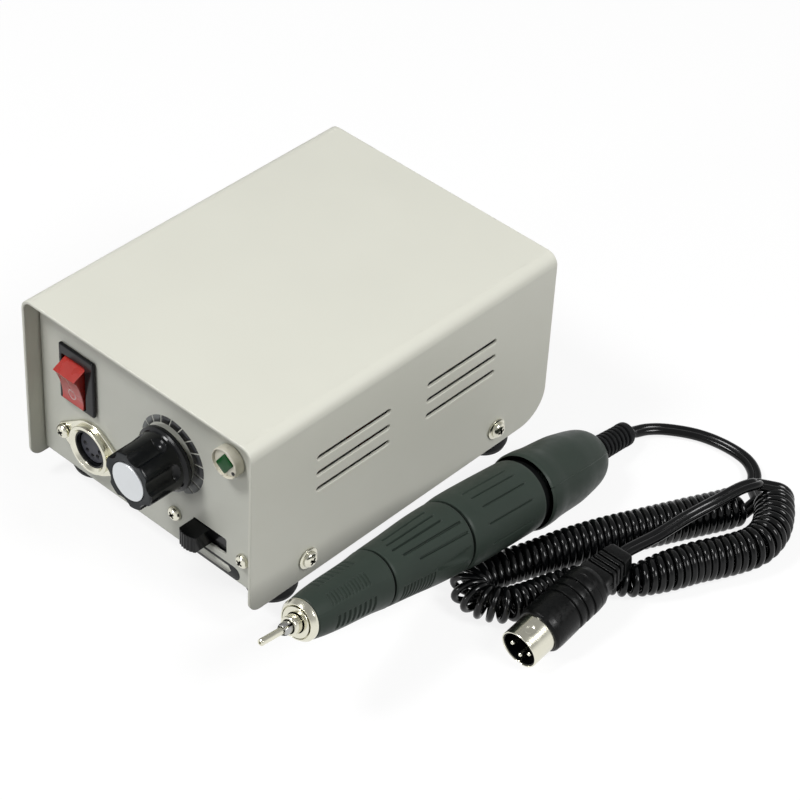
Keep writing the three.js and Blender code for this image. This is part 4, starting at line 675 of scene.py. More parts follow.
cover_outline = rounded([(0, front, FRONT_CORNER), (cover.length, front, FRONT_CORNER),
                         (cover.length, rear, REAR_CORNER), (0, rear, REAR_CORNER)], 0, 10)
cover_holes = [slot_outline(VENT_LENGTH, VENT_HEIGHT, u, column * (VENT_LENGTH + VENT_GAP))
               for row in range(3) for column in (-0.5, 0.5)
               for u in on_sides(BOX_HEIGHT - VENT_DROP - row * VENT_PITCH)]
cover_holes += [circle(COVER_SHANK + FIT, u, y, 20) for y in SCREW_YS for u in on_sides(SCREW_Z)]
cover_mesh = cover.folded(cover_outline, cover_holes, SHEET, 0.35, lambda p, v: Vector((p.x, v, p.y)))
store("cover_sheet", cover_mesh, BOX, "cream_enamel", nodes=["cover"], weighted=True)

# Chassis: rear lip, rear panel, floor, front panel, front lip
ROCKER_X, ROCKER_Z = -33.6, 50.1
ROCKER_HOLE = (19.5, 11.9)
SOCKET_X, SOCKET_Z = -26.3, 26.1
BARREL_RADIUS, EAR_REACH, EAR = 8.1, 12.9, 1.2
DIAL_X, DIAL_Z, DIAL_HOLE = 11, 46.8, 4.8
LAMP_X, LAMP_Z, LAMP_TUBE = 38, 62, 3.6
SWITCH_X, SWITCH_Z, SWITCH_REACH = 27.8, 22.4, 15.5
SOCKET_SCREWS = (SOCKET_X - EAR_REACH, SOCKET_X + EAR_REACH)
SWITCH_SCREWS = (SWITCH_X - SWITCH_REACH, SWITCH_X + SWITCH_REACH)
LEVER_WIDTH, LEVER_HEIGHT, LEVER_TRAVEL = 7.5, 6.3, 7
GLAND_X, JACK_X, CORDS_Z, GLAND_RADIUS, JACK_RADIUS = -36, -12, 24, 4.6, 4.8
FUSE_X, FUSE_Z, FUSE_RADIUS = 30, 60, 5
FOOT_X, FOOT_STEM = BOX_WIDTH / 2 - 11, 2.2
FOOT_YS = {"front": -BOX_DEPTH / 2 + 20.7, "rear": BOX_DEPTH / 2 - 18.5}
LIP, STEP, CHASSIS_BEND, FLANGE = 9, 3.5, 2, 15
NOTCH_OUT, NOTCH_IN = 1, 4
chassis = Fold([(REAR_Y - LIP, CHASSIS_TOP), (REAR_Y, CHASSIS_TOP), (REAR_Y, CHASSIS_UNDER),
                (FRONT_Y, CHASSIS_UNDER), (FRONT_Y, CHASSIS_TOP), (FRONT_Y + LIP, CHASSIS_TOP)],
               CHASSIS_BEND)


def on_front(x, z):
    return chassis.spot(3, z - CHASSIS_UNDER), x


def on_rear(x, z):
    return chassis.spot(1, CHASSIS_TOP - z), x


wide = CHASSIS_WIDTH / 2
start_u, end_u = chassis.spot(1, 0), chassis.spot(3, CHASSIS_TOP - CHASSIS_UNDER)
one_side = [(0, wide - STEP, 1), (start_u - NOTCH_OUT, wide - STEP, 0), (start_u + NOTCH_IN, wide, 1),
            (end_u - NOTCH_IN, wide, 1), (end_u + NOTCH_OUT, wide - STEP, 0),
            (chassis.length, wide - STEP, 1)]
chassis_outline = rounded([(u, -v, r) for u, v, r in one_side[:1]] + one_side
                          + [(u, -v, r) for u, v, r in reversed(one_side[1:])], 1, 4)
window = rectangle(LEVER_HEIGHT + 2 * FIT, LEVER_WIDTH + LEVER_TRAVEL + 2 * FIT,
                   *on_front(SWITCH_X, SWITCH_Z))
chassis_holes = [rectangle(*ROCKER_HOLE, *on_front(ROCKER_X, ROCKER_Z)), rounded(window, 0.8)]
chassis_holes += [circle(radius, *spot, count) for radius, spot, count in (
    (BARREL_RADIUS + FIT, on_front(SOCKET_X, SOCKET_Z), 48), (DIAL_HOLE, on_front(DIAL_X, DIAL_Z), 32),
    (LAMP_TUBE + FIT, on_front(LAMP_X, LAMP_Z), 32), (GLAND_RADIUS + FIT, on_rear(GLAND_X, CORDS_Z), 32),
    (FUSE_RADIUS + FIT, on_rear(FUSE_X, FUSE_Z), 32), (JACK_RADIUS + FIT, on_rear(JACK_X, CORDS_Z), 32))]
for xs, z in ((SOCKET_SCREWS, SOCKET_Z), (SWITCH_SCREWS, SWITCH_Z)):
    chassis_holes += [circle(PANEL_SHANK + FIT, *on_front(x, z), 16) for x in xs]
for y in FOOT_YS.values():
    chassis_holes += [circle(FOOT_STEM + FIT, chassis.spot(2, REAR_Y - y), x, 16) for x in (-FOOT_X, FOOT_X)]
chassis_sheet = chassis.folded(chassis_outline, chassis_holes, SHEET, 0.3,
                               lambda p, v: Vector((v, p.x, p.y)))


def flange(side):
    bores = [moved(lathe([(0, -4), (COVER_SHANK + FIT, -4), (COVER_SHANK + FIT, 4), (0, 4)], 16),
                   Matrix.Translation((side * wide, y, SCREW_Z)) @ turned_about("Y", 90)) for y in SCREW_YS]
    sheet = box_mesh(SHEET, REAR_Y - FRONT_Y - 2 * CHASSIS_BEND, FLANGE, side * (wide - SHEET / 2),
                     (REAR_Y + FRONT_Y) / 2, CHASSIS_UNDER + FLANGE / 2)
    return carved(sheet, *bores)


store("chassis_sheet", merged(chassis_sheet, flange(-1), flange(1)), BOX, "grey_enamel", nodes=["chassis"],
      weighted=True)

# Feet and screws
SIDES = (("left", -1), ("right", 1))
foot = soft_lathe([(0, 1.6), (3.2, 1.6), (3.2, 0), (7.9, 0, 0.6), (8.76, 2.2, 1.2), (8.5, FOOT_HEIGHT, 0.5),
                   (FOOT_STEM, FOOT_HEIGHT), (FOOT_STEM, 11.6), (0, 11.6)], 0.25, 48)
for end, y in FOOT_YS.items():
    for side, turn in SIDES:
        store(f"rubber_foot_{end}_{side}", foot.copy(), shifted(BOX, turn * FOOT_X, y), "black_rubber",
              nodes=[f"foot_{end}_{side}"])


def screw_mesh(shank, length, head, dome, washer=0.0, washer_height=0.0):
    """A pan-head screw with a cross recess, its seat at zero, and a captive washer when it has one. The
    inside of the recess is painted darker, as shade.
    """
    profile = [(0, -length), (shank, -length), (shank, 0, 0.05)]
    if washer:
        profile += [(washer, 0, 0.1), (washer, washer_height * 0.7, 0.1), (washer * 0.8, washer_height, 0.2)]
    profile += [(head, washer_height, 0.05)]
    profile += [(head * math.cos(a) ** 0.75, washer_height + dome * math.sin(a) ** 0.8, 0)
                for a in (math.radians(d) for d in range(8, 88, 10))]
    top = washer_height + dome
    cutters = []
    for turn in (0, 90):
        blade = box_mesh(head * 1.25, head * 0.34, dome, 0, 0, top - dome * 0.66 + dome / 2)
        for vertex in blade.verts:
            if vertex.co.z < top - dome * 0.3:
                vertex.co.x *= 0.45
                vertex.co.y *= 0.7
        cutters.append(moved(blade, turned_about("Z", turn)))
    screw = carved(soft_lathe(profile + [(0, top)], 0.05, 40), *cutters)
    # Faces inside the cross recess take the second, darker metal: painted shade
    for face in screw.faces:
        centre = face.calc_center_median()
        share = min(math.hypot(centre.x, centre.y) / head, 1)
        crown = washer_height + dome * math.sin(math.acos(share ** (4 / 3))) ** 0.8
        if share < 0.8 and top - dome * 0.7 < centre.z < crown - 0.12:
            face.material_index = 1
    return screw


def put_screw(name, template, where, spin, node):
    store(name, template.copy(), where @ turned_about("Z", spin), ["nickel", "recess_painted_shade"], nodes=[node])


cover_screw = screw_mesh(COVER_SHANK, 5.5, 2.9, 1.9, 3.9, 0.6)
panel_screw = screw_mesh(PANEL_SHANK, 6, 2.6, 1.9)
spins = {"front": (20, 52), "rear": (70, 12)}
for end, y in zip(spins, SCREW_YS):
    for (side, turn), where, spin in zip(SIDES, (LEFT, RIGHT), spins[end]):
        put_screw(f"side_screw_{end}_{side}", cover_screw, shifted(where, turn * y, SCREW_Z, FIT), spin,
                  f"cover_screw_{end}_{side}")
for (side, _), x, spin in zip(SIDES, SOCKET_SCREWS, (35, 10)):
    put_screw(f"socket_fixing_{side}", panel_screw, shifted(FRONT, x, SOCKET_Z, 2 * FIT + EAR), spin,
              f"socket_screw_{side}")
for (side, _), x, spin in zip(SIDES, SWITCH_SCREWS, (40, 65)):
    put_screw(f"switch_fixing_{side}", panel_screw, shifted(FRONT, x, SWITCH_Z, FIT), spin,
              f"direction_switch_screw_{side}")

# Power rocker
ROCKER = shifted(FRONT, ROCKER_X, ROCKER_Z)
PADDLE_WIDTH, BEZEL, TUB_WALL, TUB_DEPTH = 10.1, 1.7, 0.6, 11.7
POCKET = Vector((PADDLE_WIDTH + FIT + 0.225, 17.8))
HOUSING = POCKET + Vector((1, 1)) * 2 * TUB_WALL
pocket, tub_outline = (rounded(rectangle(*size), 0.3, 2) for size in (POCKET, HOUSING))
bezel = plate(rounded(rectangle(16.2, 22.7, 1.3, 1.45), 0.5), [pocket], BEZEL - FIT, 0.5, 3)
tub = plate(tub_outline, [pocket], TUB_DEPTH, 0.05, 1)
tub_floor = box_mesh(*HOUSING, 2, 0, 0, -TUB_DEPTH - 0.7)
blades = [box_mesh(4.8, 0.8, 7, 0, step * 6.5, -16.8) for step in (-1, 0, 1)]
store("rocker_bezel", merged(raised(bezel, BEZEL), tub, tub_floor, *blades), ROCKER, "black_plastic",
      nodes=["rocker_housing"], weighted=True)

ROCKER_TURN = shifted(ROCKER, z=-3) @ turned_about("X", 15)
FACE_REACH, FACE_HOLLOW, FACE_TIP = 7.1, 6.3, 7.43


def rocker_face(along):
    return FACE_HOLLOW + (FACE_TIP - FACE_HOLLOW) * abs(along / FACE_REACH) ** 3


def paddle_mesh(steps=24):
    heel, radius = 3.4, 8.6
    ridge = math.sqrt(radius ** 2 - heel ** 2)
    points = [(-3.55, -heel * 1.25, 0.5), (3.55, -heel * 1.25, 0.5), (ridge * 0.9, -heel * 0.6, 0.5),
              (radius, 0, 1.5), (ridge, heel, 1)]
    face = [FACE_REACH * (1 - 2 * i / steps) for i in range(steps + 1)]
    points += [(along, rocker_face(along), 0) for along in face]
    points += [(-ridge, heel, 1), (-radius, 0, 1.5), (-ridge * 0.9, -heel * 0.6, 0.5)]
    outline = rounded(points, 0)
    paddle = loft([[Vector((x, p.x, p.y)) for p in outline] for x in (-PADDLE_WIDTH / 2, PADDLE_WIDTH / 2)])
    pin = moved(lathe([(0, -5.7), (1.2, -5.7), (1.2, 5.7), (0, 5.7)], 24), turned_about("Y", 90))
    return merged(paddle, pin)


store("rocker_paddle", paddle_mesh(), ROCKER_TURN, "red_plastic", "rocker", ["power_rocker"], angle=24,
      bevel=0.22)

INK_LIFT, INK_THICKNESS = 0.02, 0.03


def ribbon(rows):
    """A strip between two lines. Each row holds a point of either."""
    bm = bmesh.new()
    pairs = [[bm.verts.new(point) for point in row] for row in rows]
    for a, b in zip(pairs, pairs[1:]):
        bm.faces.new((a[0], b[0], b[1], a[1]))
    return bm


def flat(outline, z):
    bm = bmesh.new()
    bm.faces.new([bm.verts.new(p) for p in level_ring(outline, z)])
    return bm


def ink(name, bm, where, skin, body="root"):
    modify(store(name, bm, where, skin, body, angle=60), "SOLIDIFY", thickness=INK_THICKNESS * MM)


def rocker_mark(name, rows):
    """Ink that follows the rocker's hollow face. Rows are pairs of (x, along) points."""
    rows = [[(x, along, rocker_face(along) + INK_THICKNESS) for x, along in row] for row in rows]
    ink(name, ribbon(rows), ROCKER_TURN, "pale_ink", "rocker")


RING_AT, RING_ASPECT, RING_RADII = -3.2, 0.8, (1.75, 2.2)
BAR_START, BAR_STEP, BAR_HALF = 1.9, 0.35, 0.2
rocker_mark("rocker_ring_mark", [
    [(r * RING_ASPECT * math.cos(angle), RING_AT + r * math.sin(angle)) for r in RING_RADII]
    for angle in turns(40) + [2 * math.pi]])
rocker_mark("rocker_bar_mark", [[(x, BAR_START + BAR_STEP * i) for x in (-BAR_HALF, BAR_HALF)]
                                for i in range(9)])

# Handpiece socket
SOCKET = shifted(FRONT, SOCKET_X, SOCKET_Z)
CONTACT_CIRCLE, CONTACT_COUNT = 3.5, 5


def eared_outline(radius, ear, reach, steps=14):
    lean = math.acos((radius - ear) / reach)
    arcs = [(0, radius, lean, math.pi - lean), (-reach, ear, math.pi - lean, math.pi + lean),
            (0, radius, math.pi + lean, 2 * math.pi - lean), (reach, ear, -lean, lean)]
    points = []
    for centre, size, start, end in arcs:
        for k in range(steps + 1):
            angle = start + (end - start) * k / steps
            points.append(Vector((centre + size * math.cos(angle), size * math.sin(angle))))
    return points


def at_contacts(profile, closed=False):
    """The same small lathe at every contact of the socket."""
    ways = [math.pi * (1 + i / (CONTACT_COUNT - 1)) for i in range(CONTACT_COUNT)]
    spots = [(CONTACT_CIRCLE * math.cos(way), CONTACT_CIRCLE * math.sin(way), 0) for way in ways]
    return [moved(lathe(profile, 20, closed), Matrix.Translation(spot)) for spot in spots]


ear_holes = [circle(1.6, x, count=20) for x in (-EAR_REACH, EAR_REACH)]
ears = plate(eared_outline(10.4, 3, EAR_REACH), [circle(8.2, count=48), *ear_holes], EAR, 0.4, 3)
shell = soft_lathe([(6.9, -9), (BARREL_RADIUS, -9), (BARREL_RADIUS, 0.4, 0), (BARREL_RADIUS, 1.3, 0),
                    (9, 1.45, 0.2), (9, 3.3, 0.35), (7.9, 3.3, 0.15), (6.9, 2.3, 0.15)], 0.05, 72, True)
store("socket_plate", merged(raised(ears, FIT + EAR), shell), SOCKET, "nickel", nodes=["socket_shell"],
      weighted=True)
insert = soft_lathe([(0, -5.3), (5.75, -5.3), (5.75, 0.9, 0.25), (0, 0.9)], 0.1, 64)
holes = at_contacts([(0, -4), (0.95, -4), (0.95, 3), (0, 3)])
key = box_mesh(2.4, 2.6, 11, 0, 5.6, 1.7)
store("socket_contacts", carved(insert, *holes, key), SOCKET, "grey_plastic", nodes=["socket_insert"])
# A black tube over the nickel wall of the bore, so the gap around the insert is dark: painted shade
bore_shade = soft_lathe([(5.9, -6), (6.8, -6), (6.8, 2.25, 0.1), (6.35, 2.25, 0.1), (5.9, 0.2, 0.2)],
                    0.05, 72, True)
store("socket_bore_shade", bore_shade, SOCKET, "black_plastic")
sleeves = at_contacts([(0.62, -3.9), (0.9, -3.9), (0.9, 0.2), (0.62, 0.2)], True)
store("socket_contact_sleeves", merged(*sleeves), SOCKET, "nickel")

# Speed control
DIAL = shifted(FRONT, DIAL_X, DIAL_Z)
KNOB = shifted(DIAL, z=FIT + 0.8 + FIT) @ turned_about("Z", 17)
KNOB_HEIGHT, KNOB_FLUTES = 17.6, 6
SKIRT_TOP, GRIP_FOOT_RADIUS, GRIP_TAPER = 3.6, 10.45, 0.15
FLUTE_DEPTH, FLUTE_RADIUS, FLUTE_FOOT, FLUTE_LEAN = 1.75, 4.3, 7.4, 1.25
FLUTE_AXIS = 10.3 - FLUTE_DEPTH + FLUTE_RADIUS


def knob_radius(radius, height, turn):
    """The knob's radius with its flutes, which run out above the skirt in round feet."""
    pitch = 2 * math.pi / KNOB_FLUTES
    away = ((turn / pitch + 0.5) % 1 - 0.5) * pitch
    hollow = FLUTE_RADIUS ** 2 - (max(0, FLUTE_FOOT - height) * FLUTE_LEAN) ** 2
    inside = hollow - (FLUTE_AXIS * math.sin(away)) ** 2
    if height <= SKIRT_TOP or hollow <= 0 or inside <= 0:
        return radius
    return min(radius, FLUTE_AXIS * math.cos(away) - math.sqrt(inside))


def knob_mesh(count=288, steps=40):
    top = KNOB_HEIGHT
    profile = [(0, 9.3), (0.2, 9.5), (1.0, 11.4), (1.3, 11.65), (1.6, 11.72), (2.3, 11.72), (2.55, 11.62),
               (2.75, 11.35), (3.1, 10.75), (SKIRT_TOP, GRIP_FOOT_RADIUS)]
    profile += [(SKIRT_TOP + (top - 0.5 - SKIRT_TOP) * k / steps, GRIP_FOOT_RADIUS - GRIP_TAPER * k / steps)
                for k in range(1, steps + 1)]
    profile += [(top - 0.3, 10.26), (top - 0.1, 10.18), (top, 10.0)]
    rings = []
    for height, radius in profile:
        ways = zip(turns(count), circle(1, count=count))
        rings.append(level_ring([way * knob_radius(radius, height, turn) for turn, way in ways], height))
    for radius, height in ((7.5, top), (7.2, top - 0.15), (7.2, top - 1)):
        rings.append(level_ring(circle(radius, count=count), height))
    bm = loft(rings)
    for face in bm.faces:
        face.material_index = int(face.calc_center_median().z > top - 0.12)
    return bm


store("speed_knob_grip", knob_mesh(), KNOB, ["black_plastic", "matt_black_plastic"], "knob", ["speed_knob"],
      angle=28)
CAP_FACE, SPUN_RINGS, SPUN_PITCH, SPUN_HALF, SPUN_DEPTH = 1.3, 13, 6.6 / 13.5, 0.12, 0.015
cap_profile = [(0, CAP_FACE - 1), (6.95, CAP_FACE - 1), (6.95, CAP_FACE - 0.15), (6.8, CAP_FACE)]
for k in range(SPUN_RINGS, 0, -1):
    at = SPUN_PITCH * k
    cap_profile += [(at + SPUN_HALF, CAP_FACE), (at, CAP_FACE - SPUN_DEPTH), (at - SPUN_HALF, CAP_FACE)]
store("speed_knob_cap", lathe(cap_profile + [(0, CAP_FACE)], 96), shifted(KNOB, z=KNOB_HEIGHT - 1),
      "spun_aluminium", "knob", ["knob_cap"], angle=50)

WEDGES, GREY_WEDGES = 12, 3
WEDGE_START, WEDGE_END = 171.0, -68.0
WEDGE_CIRCLES = ((Vector((-1.1, -0.3)), 11), (Vector((0.1, -0.2)), 14.15))


def wedge(index, steps=5):
    """One wedge of the scale, between two circles that aren't concentric."""
    rows = []
    for k in range(steps + 1):
        place = index + 0.03 + 0.91 * k / steps
        angle = math.radians(WEDGE_START + (WEDGE_END - WEDGE_START) * place / WEDGES)
        way = Vector((math.cos(angle), math.sin(angle)))
        rows.append([(*(centre + way * radius), INK_LIFT) for centre, radius in WEDGE_CIRCLES])
    return ribbon(rows)


wedges = [wedge(i) for i in range(WEDGES)]
ink("dial_scale", merged(*wedges[GREY_WEDGES:-GREY_WEDGES]), DIAL, "black_ink")
ink("dial_scale_ends", merged(*wedges[:GREY_WEDGES], *wedges[-GREY_WEDGES:]), DIAL, "grey_ink")

# Pilot lamp
LAMP = shifted(FRONT, LAMP_X, LAMP_Z)
LENS_ASPECT, LENS_TURN = 1.4, 55.6
lamp_bezel = soft_lathe([(2.6, -12), (LAMP_TUBE, -12), (LAMP_TUBE, FIT), (5.5, FIT), (5.5, 3.4, 0.6),
                         (5.3, 3.85, 0.15), (5.05, 3.85, 0.15), (4.95, 2.7, 0.1), (2.6, 2.7)],
                        0.1, 72, True)
store("lamp_bezel", lamp_bezel, LAMP, "white_plastic", nodes=["pilot_lamp_bezel"])
lamp_seat = lathe([(0, -6.7), (2.3, -6.7), (2.3, 2.75), (4.9, 2.75), (4.8, 2.95), (3.8, 3.2), (0, 3.3)], 48)
dot = moved(lathe([(0, 2.9), (0.7, 2.9), (0.7, 3.25), (0.6, 3.35), (0, 3.35)], 20),
            Matrix.Translation((3.5, -2.2, 0)))
for face in dot.faces:
    face.material_index = 1
block = loft([level_ring(rounded(rectangle(size * LENS_ASPECT, size), size * 0.14), z) for z, size in
               ((2.9, 4.9), (3.3, 4.85), (3.6, 4.6), (3.72, 4.1), (3.78, 2.6), (3.8, 0.8))])
store("lamp_seat", merged(lamp_seat, dot), LAMP, ["white_plastic", "black_plastic"])
store("lamp_lens", block, shifted(LAMP, -0.05, -0.1) @ turned_about("Z", LENS_TURN), "green_lens",
      nodes=["pilot_lamp_lens"])

# Direction switch
LEVER = shifted(FRONT, SWITCH_X - LEVER_TRAVEL / 2, SWITCH_Z)
LEVER_CREST, LEVER_RIBS = 7.6, 6


def lever_mesh():
    end, seat = LEVER_WIDTH / 2, -2.1

    def height(x):
        return LEVER_CREST - 1.1 * (x / end) ** 2

    points = [(-end, seat, 0), (end, seat, 0)]
    pitch = LEVER_WIDTH / LEVER_RIBS
    for i in range(LEVER_RIBS):
        right = end - i * pitch
        points += [(right - pitch * 0.06, height(right) - 0.12, 0.08),
                   (right - pitch * 0.28, height(right), 0.15),
                   (right - pitch * 0.62, height(right - pitch * 0.6), 0.15)]
        if i + 1 < LEVER_RIBS:
            points += [(right - pitch * 0.84, height(right - pitch) - 0.5, 0.1)]
    points += [(-end, height(-end) - 0.12, 0.1)]
    shape = rounded(points, 0, 2)
    grip = loft([[Vector((p.x, y, p.y)) for p in shape] for y in (-LEVER_HEIGHT / 2, LEVER_HEIGHT / 2)])
    return merged(grip, box_mesh(20.5, 7.9, 1.2, 0, 0, seat))


store("direction_slider", lever_mesh(), LEVER, "black_plastic", "lever", ["direction_lever"], angle=30,
      bevel=0.12)

# Plain bar printed under the window, with a pale field that narrows to a point
BAR_X, BAR_Z, BAR_WIDTH, BAR_HEIGHT = 27.9, 13.9, 27.5, 5.2
FIELD = [(16.4, BAR_Z - 1.5), (36.4, BAR_Z - 1.5), (37.8, BAR_Z), (36.4, BAR_Z + 1.5), (16.4, BAR_Z + 1.5)]
bar_outline = rounded(rectangle(BAR_WIDTH, BAR_HEIGHT, BAR_X, BAR_Z), 2.55, 8)
ink("direction_bar", flat(bar_outline, INK_LIFT), FRONT, "black_ink")
ink("direction_bar_field", flat(rounded(FIELD, 0.3, 3), INK_LIFT + INK_THICKNESS), FRONT, "grey_enamel")


# Rear panel
def rear_fitting(name, node, x, z, profile, skin):
    store(name, soft_lathe(profile, 0.3, 48, profile[0][0] > 0), shifted(REAR, -x, z), skin, nodes=[node])


rear_fitting("cord_gland", "mains_gland", GLAND_X, CORDS_Z, [
    (3.2, -7), (GLAND_RADIUS, -7), (GLAND_RADIUS, FIT), (6, FIT), (6, 1.9), (GLAND_RADIUS, 1.9), (4.14, 5),
    (3.2, 5)], "black_rubber")
rear_fitting("jack_socket", "foot_control_jack", JACK_X, CORDS_Z, [
    (3.2, -9), (JACK_RADIUS, -9), (JACK_RADIUS, FIT), (6.2, FIT), (6.2, 1.9), (JACK_RADIUS, 1.9),
    (4.32, 3.2), (3.2, 3.2)], "steel")
rear_fitting("fuse_cap", "fuse_holder", FUSE_X, FUSE_Z, [
    (0, -26), (3, -26), (FUSE_RADIUS, -21), (FUSE_RADIUS, FIT), (6.5, FIT), (6.5, 1.9), (5.2, 1.9),
    (5.2, 7, 0.6), (0, 7)], "black_plastic")

# Handpiece
NOSE_RADIUS = 7
CONE_START, CONE_LENGTH, CONE_REAR = FIT, 32.7, 9.95
SLEEVE_START, SLEEVE_LENGTH, SLEEVE_REAR = 33.95, 36.2, 12.3
MOTOR_START, MOTOR_LENGTH, MOTOR_RADIUS = 71.1, 37.4, 13
CAP_START, CAP_FRONT, CAP_LENGTH, CAP_RADIUS = 108.8, 111.7, 41.8, 13.63
CONE_END, SLEEVE_END = CONE_START + CONE_LENGTH, SLEEVE_START + SLEEVE_LENGTH
MOTOR_END, CAP_END = MOTOR_START + MOTOR_LENGTH, CAP_FRONT + CAP_LENGTH
CONE = [[0, 0], [0.19, 0.305], [0.41, 0.508], [0.565, 0.6], [0.79, 0.746], [1, 1]]
SLEEVE = [[0, 0], [0.06, 0.08], [0.29, 0.336], [0.573, 0.71], [0.717, 0.872], [0.97, 1], [1, 0.97]]
MOTOR = [[0, 0.955], [0.03, 0.965], [0.14, 0.992], [0.35, 1], [0.97, 0.982], [1, 0.97]]
CAP = [[0, 0.98], [0.015, 1], [0.1, 0.996], [0.237, 0.957], [0.514, 0.922], [0.653, 0.866], [0.797, 0.785],
       [0.868, 0.712], [0.94, 0.572], [1, 0.38]]


def upward_ring(radii, z):
    """A ring whose angles run from the right side, upwards."""
    return [Vector((radius * math.cos(angle), -radius * math.sin(angle), z))
            for radius, angle in zip(radii, turns(len(radii)))]


def skin_rings(start, length, rows, count, radius_at, cut_at, drops):
    """Rings along the handpiece: a radius for each share of the length, less a cut for each angle.
    Drops round off the front and the rear over some rows."""
    front_drop, rear_drop, reach = drops
    rings = []
    for k in range(rows + 1):
        share = k / rows
        drop = front_drop * (1 - smooth(k, 0, reach)) + rear_drop * smooth(k, rows - reach, rows)
        base = radius_at(share) - drop
        radii = [base - cut_at(math.degrees(angle), share) for angle in turns(count)]
        rings.append(upward_ring(radii, start + share * length))
    return rings


def bore_rings(count, *marks):
    return [upward_ring([radius] * count, z) for radius, z in marks]


def off(angle, centre):
    """The signed turn from a centre angle, in degrees."""
    return (angle - centre + 180) % 360 - 180


def window_of(value, start, end, edge):
    """One inside a range and zero outside it, with soft edges."""
    return smooth(value, start - edge, start + edge) * (1 - smooth(value, end - edge, end + edge))


def rib_wave(phase):
    return smooth(math.cos(2 * math.pi * phase), -0.35, 0.75)


def ridge(angle, centre, height, spread):
    """A fine raised line along both sides."""
    turn = min(abs(off(angle, centre)), abs(off(angle, centre + 180)))
    return height * math.exp(-(turn / spread) ** 2) if turn < 4 * spread else 0


def lines_cut(angle, along, lines, depth, core, reach, edge):
    """How deep fine lines cut. Each has the angle where it lies, its start and its end."""
    cut = 0
    for centre, start, end in lines:
        turn = abs(off(angle, centre))
        if turn < reach:
            cut = max(cut, depth * (1 - smooth(turn, core, reach)) * window_of(along, start, end, edge))
    return cut


def band(name, inner, outer, start, end, where=HANDPIECE, skin="dark_gap", soft=0.05):
    """A plain ring of painted shade: a dark ring in the gap between two pieces, or a dark sheet over the
    wall of a bore.
    """
    profile = [(inner, start), (outer, start), (outer, end), (inner, end)]
    store(name, soft_lathe(profile, soft, 72, True), where, skin)


nose_ring = soft_lathe([(3.5, -2.8), (5.2, -2.8, 0.15), (5.2, -1.2, 0.05), (5.6, -1.2, 0.05),
                        (5.6, -2.45, 0.1), (5.95, -2.5, 0.15), (NOSE_RADIUS, -0.95, 0.25),
                        (NOSE_RADIUS, -0.1, 0.1), (3.5, -0.1)], 0.04, 96, True)
store("nose_ring_polished", nose_ring, HANDPIECE, "nickel", nodes=["nose_ring"], angle=30)
# Dark rings in the seams between the handpiece's pieces: painted shade
band("nose_seam", 3.6, 6.5, -0.06, 0.5)
band("cone_seam", 8.05, 9.2, CONE_END + 0.02, SLEEVE_START - 0.02)
band("sleeve_seam", 8.35, 11.5, SLEEVE_END + 0.02, MOTOR_START - 0.08)

# Finger ribs of the cone, six rows about it: first rib, pitch, count, depth and how wide, in degrees
LOW_ROW = (7.9, 2.3, 8, 0.6, 20)
HIGH_ROW = (6.7, 1.5, 12, 0.42, 17)
ROW_ANGLES = [60 * index - 2 for index in range(6)]
CONE_RIDGE = 38


def cone_radius(share):
    return NOSE_RADIUS + (CONE_REAR - NOSE_RADIUS) * share_at(CONE, share)


def cone_cut(angle, share):
    cut = 0
    for index, centre in enumerate(ROW_ANGLES):
        turn = abs(off(angle, centre))
        start, pitch, count, depth, reach = HIGH_ROW if index % 2 else LOW_ROW
        phase = (share * CONE_LENGTH - start) / pitch
        if turn <= reach and -0.5 < phase < count - 0.5:
            cut = max(cut, depth * rib_wave(phase) * (1 - smooth(turn, reach - 5, reach)))
    return cut - ridge(angle, CONE_RIDGE, 0.07, 0.8)


cone = skin_rings(CONE_START, CONE_LENGTH, 400, 300, cone_radius, cone_cut, (0.25, 0.25, 5))
cone += bore_rings(300, (6.8, CONE_END), (3.5, CONE_START))
store("nose_cone_grip", loft(cone, closed=True), HANDPIECE, "handpiece_coat", nodes=["nose_cone"], angle=40)

# Grip grooves of the sleeve: where each lies about it, and the shares of its length where it starts and ends
SLEEVE_GROOVES = [(41, 0.326, 0.957), (60, 0.184, 0.938), (77, 0.119, 0.778), (92, 0.126, 0.77),
                  (108, 0.168, 0.77)]
SCOOP_ANGLE, SCOOP_DEPTH = 9, 1.25
PAD_ANGLE, PAD_REACH, PAD_START, PAD_END, PAD_PITCH, PAD_DEPTH = -12, 21, 2.7, 18, 1.55, 0.5


def sleeve_radius(share):
    return CONE_REAR + (SLEEVE_REAR - CONE_REAR) * share_at(SLEEVE, share)


def sleeve_cut(angle, share):
    half, at = angle % 180, share * SLEEVE_LENGTH
    cut = lines_cut(half, share, SLEEVE_GROOVES, 0.85, 0.9, 2.2, 0.012)
    scoop = off(half * 2, SCOOP_ANGLE * 2) / 2
    reach = 2 + 9 * smooth(share, 0.44, 0.94)
    if abs(scoop) < reach:
        rounding = math.sqrt(1 - (scoop / reach) ** 2)
        cut = max(cut, SCOOP_DEPTH * rounding * window_of(share, 0.52, 0.93, 0.05))
    pad = abs(off(half * 2, PAD_ANGLE * 2) / 2)
    if pad < PAD_REACH and PAD_START - 1 < at < PAD_END + 1:
        side = 1 - smooth(pad, PAD_REACH - 4, PAD_REACH)
        ribs = PAD_DEPTH * rib_wave((at - PAD_START - 0.7) / PAD_PITCH)
        cut = max(cut, ribs * side * window_of(at, PAD_START, PAD_END, 0.4))
    return cut


sleeve = skin_rings(SLEEVE_START, SLEEVE_LENGTH, 220, 480, sleeve_radius, sleeve_cut, (0.25, 0.3, 4))
sleeve += bore_rings(480, (8.3, SLEEVE_END), (8.3, SLEEVE_START))
store("chuck_sleeve_grip", loft(sleeve, closed=True), HANDPIECE, "handpiece_coat", "chuck",
      ["chuck_sleeve"], angle=40)

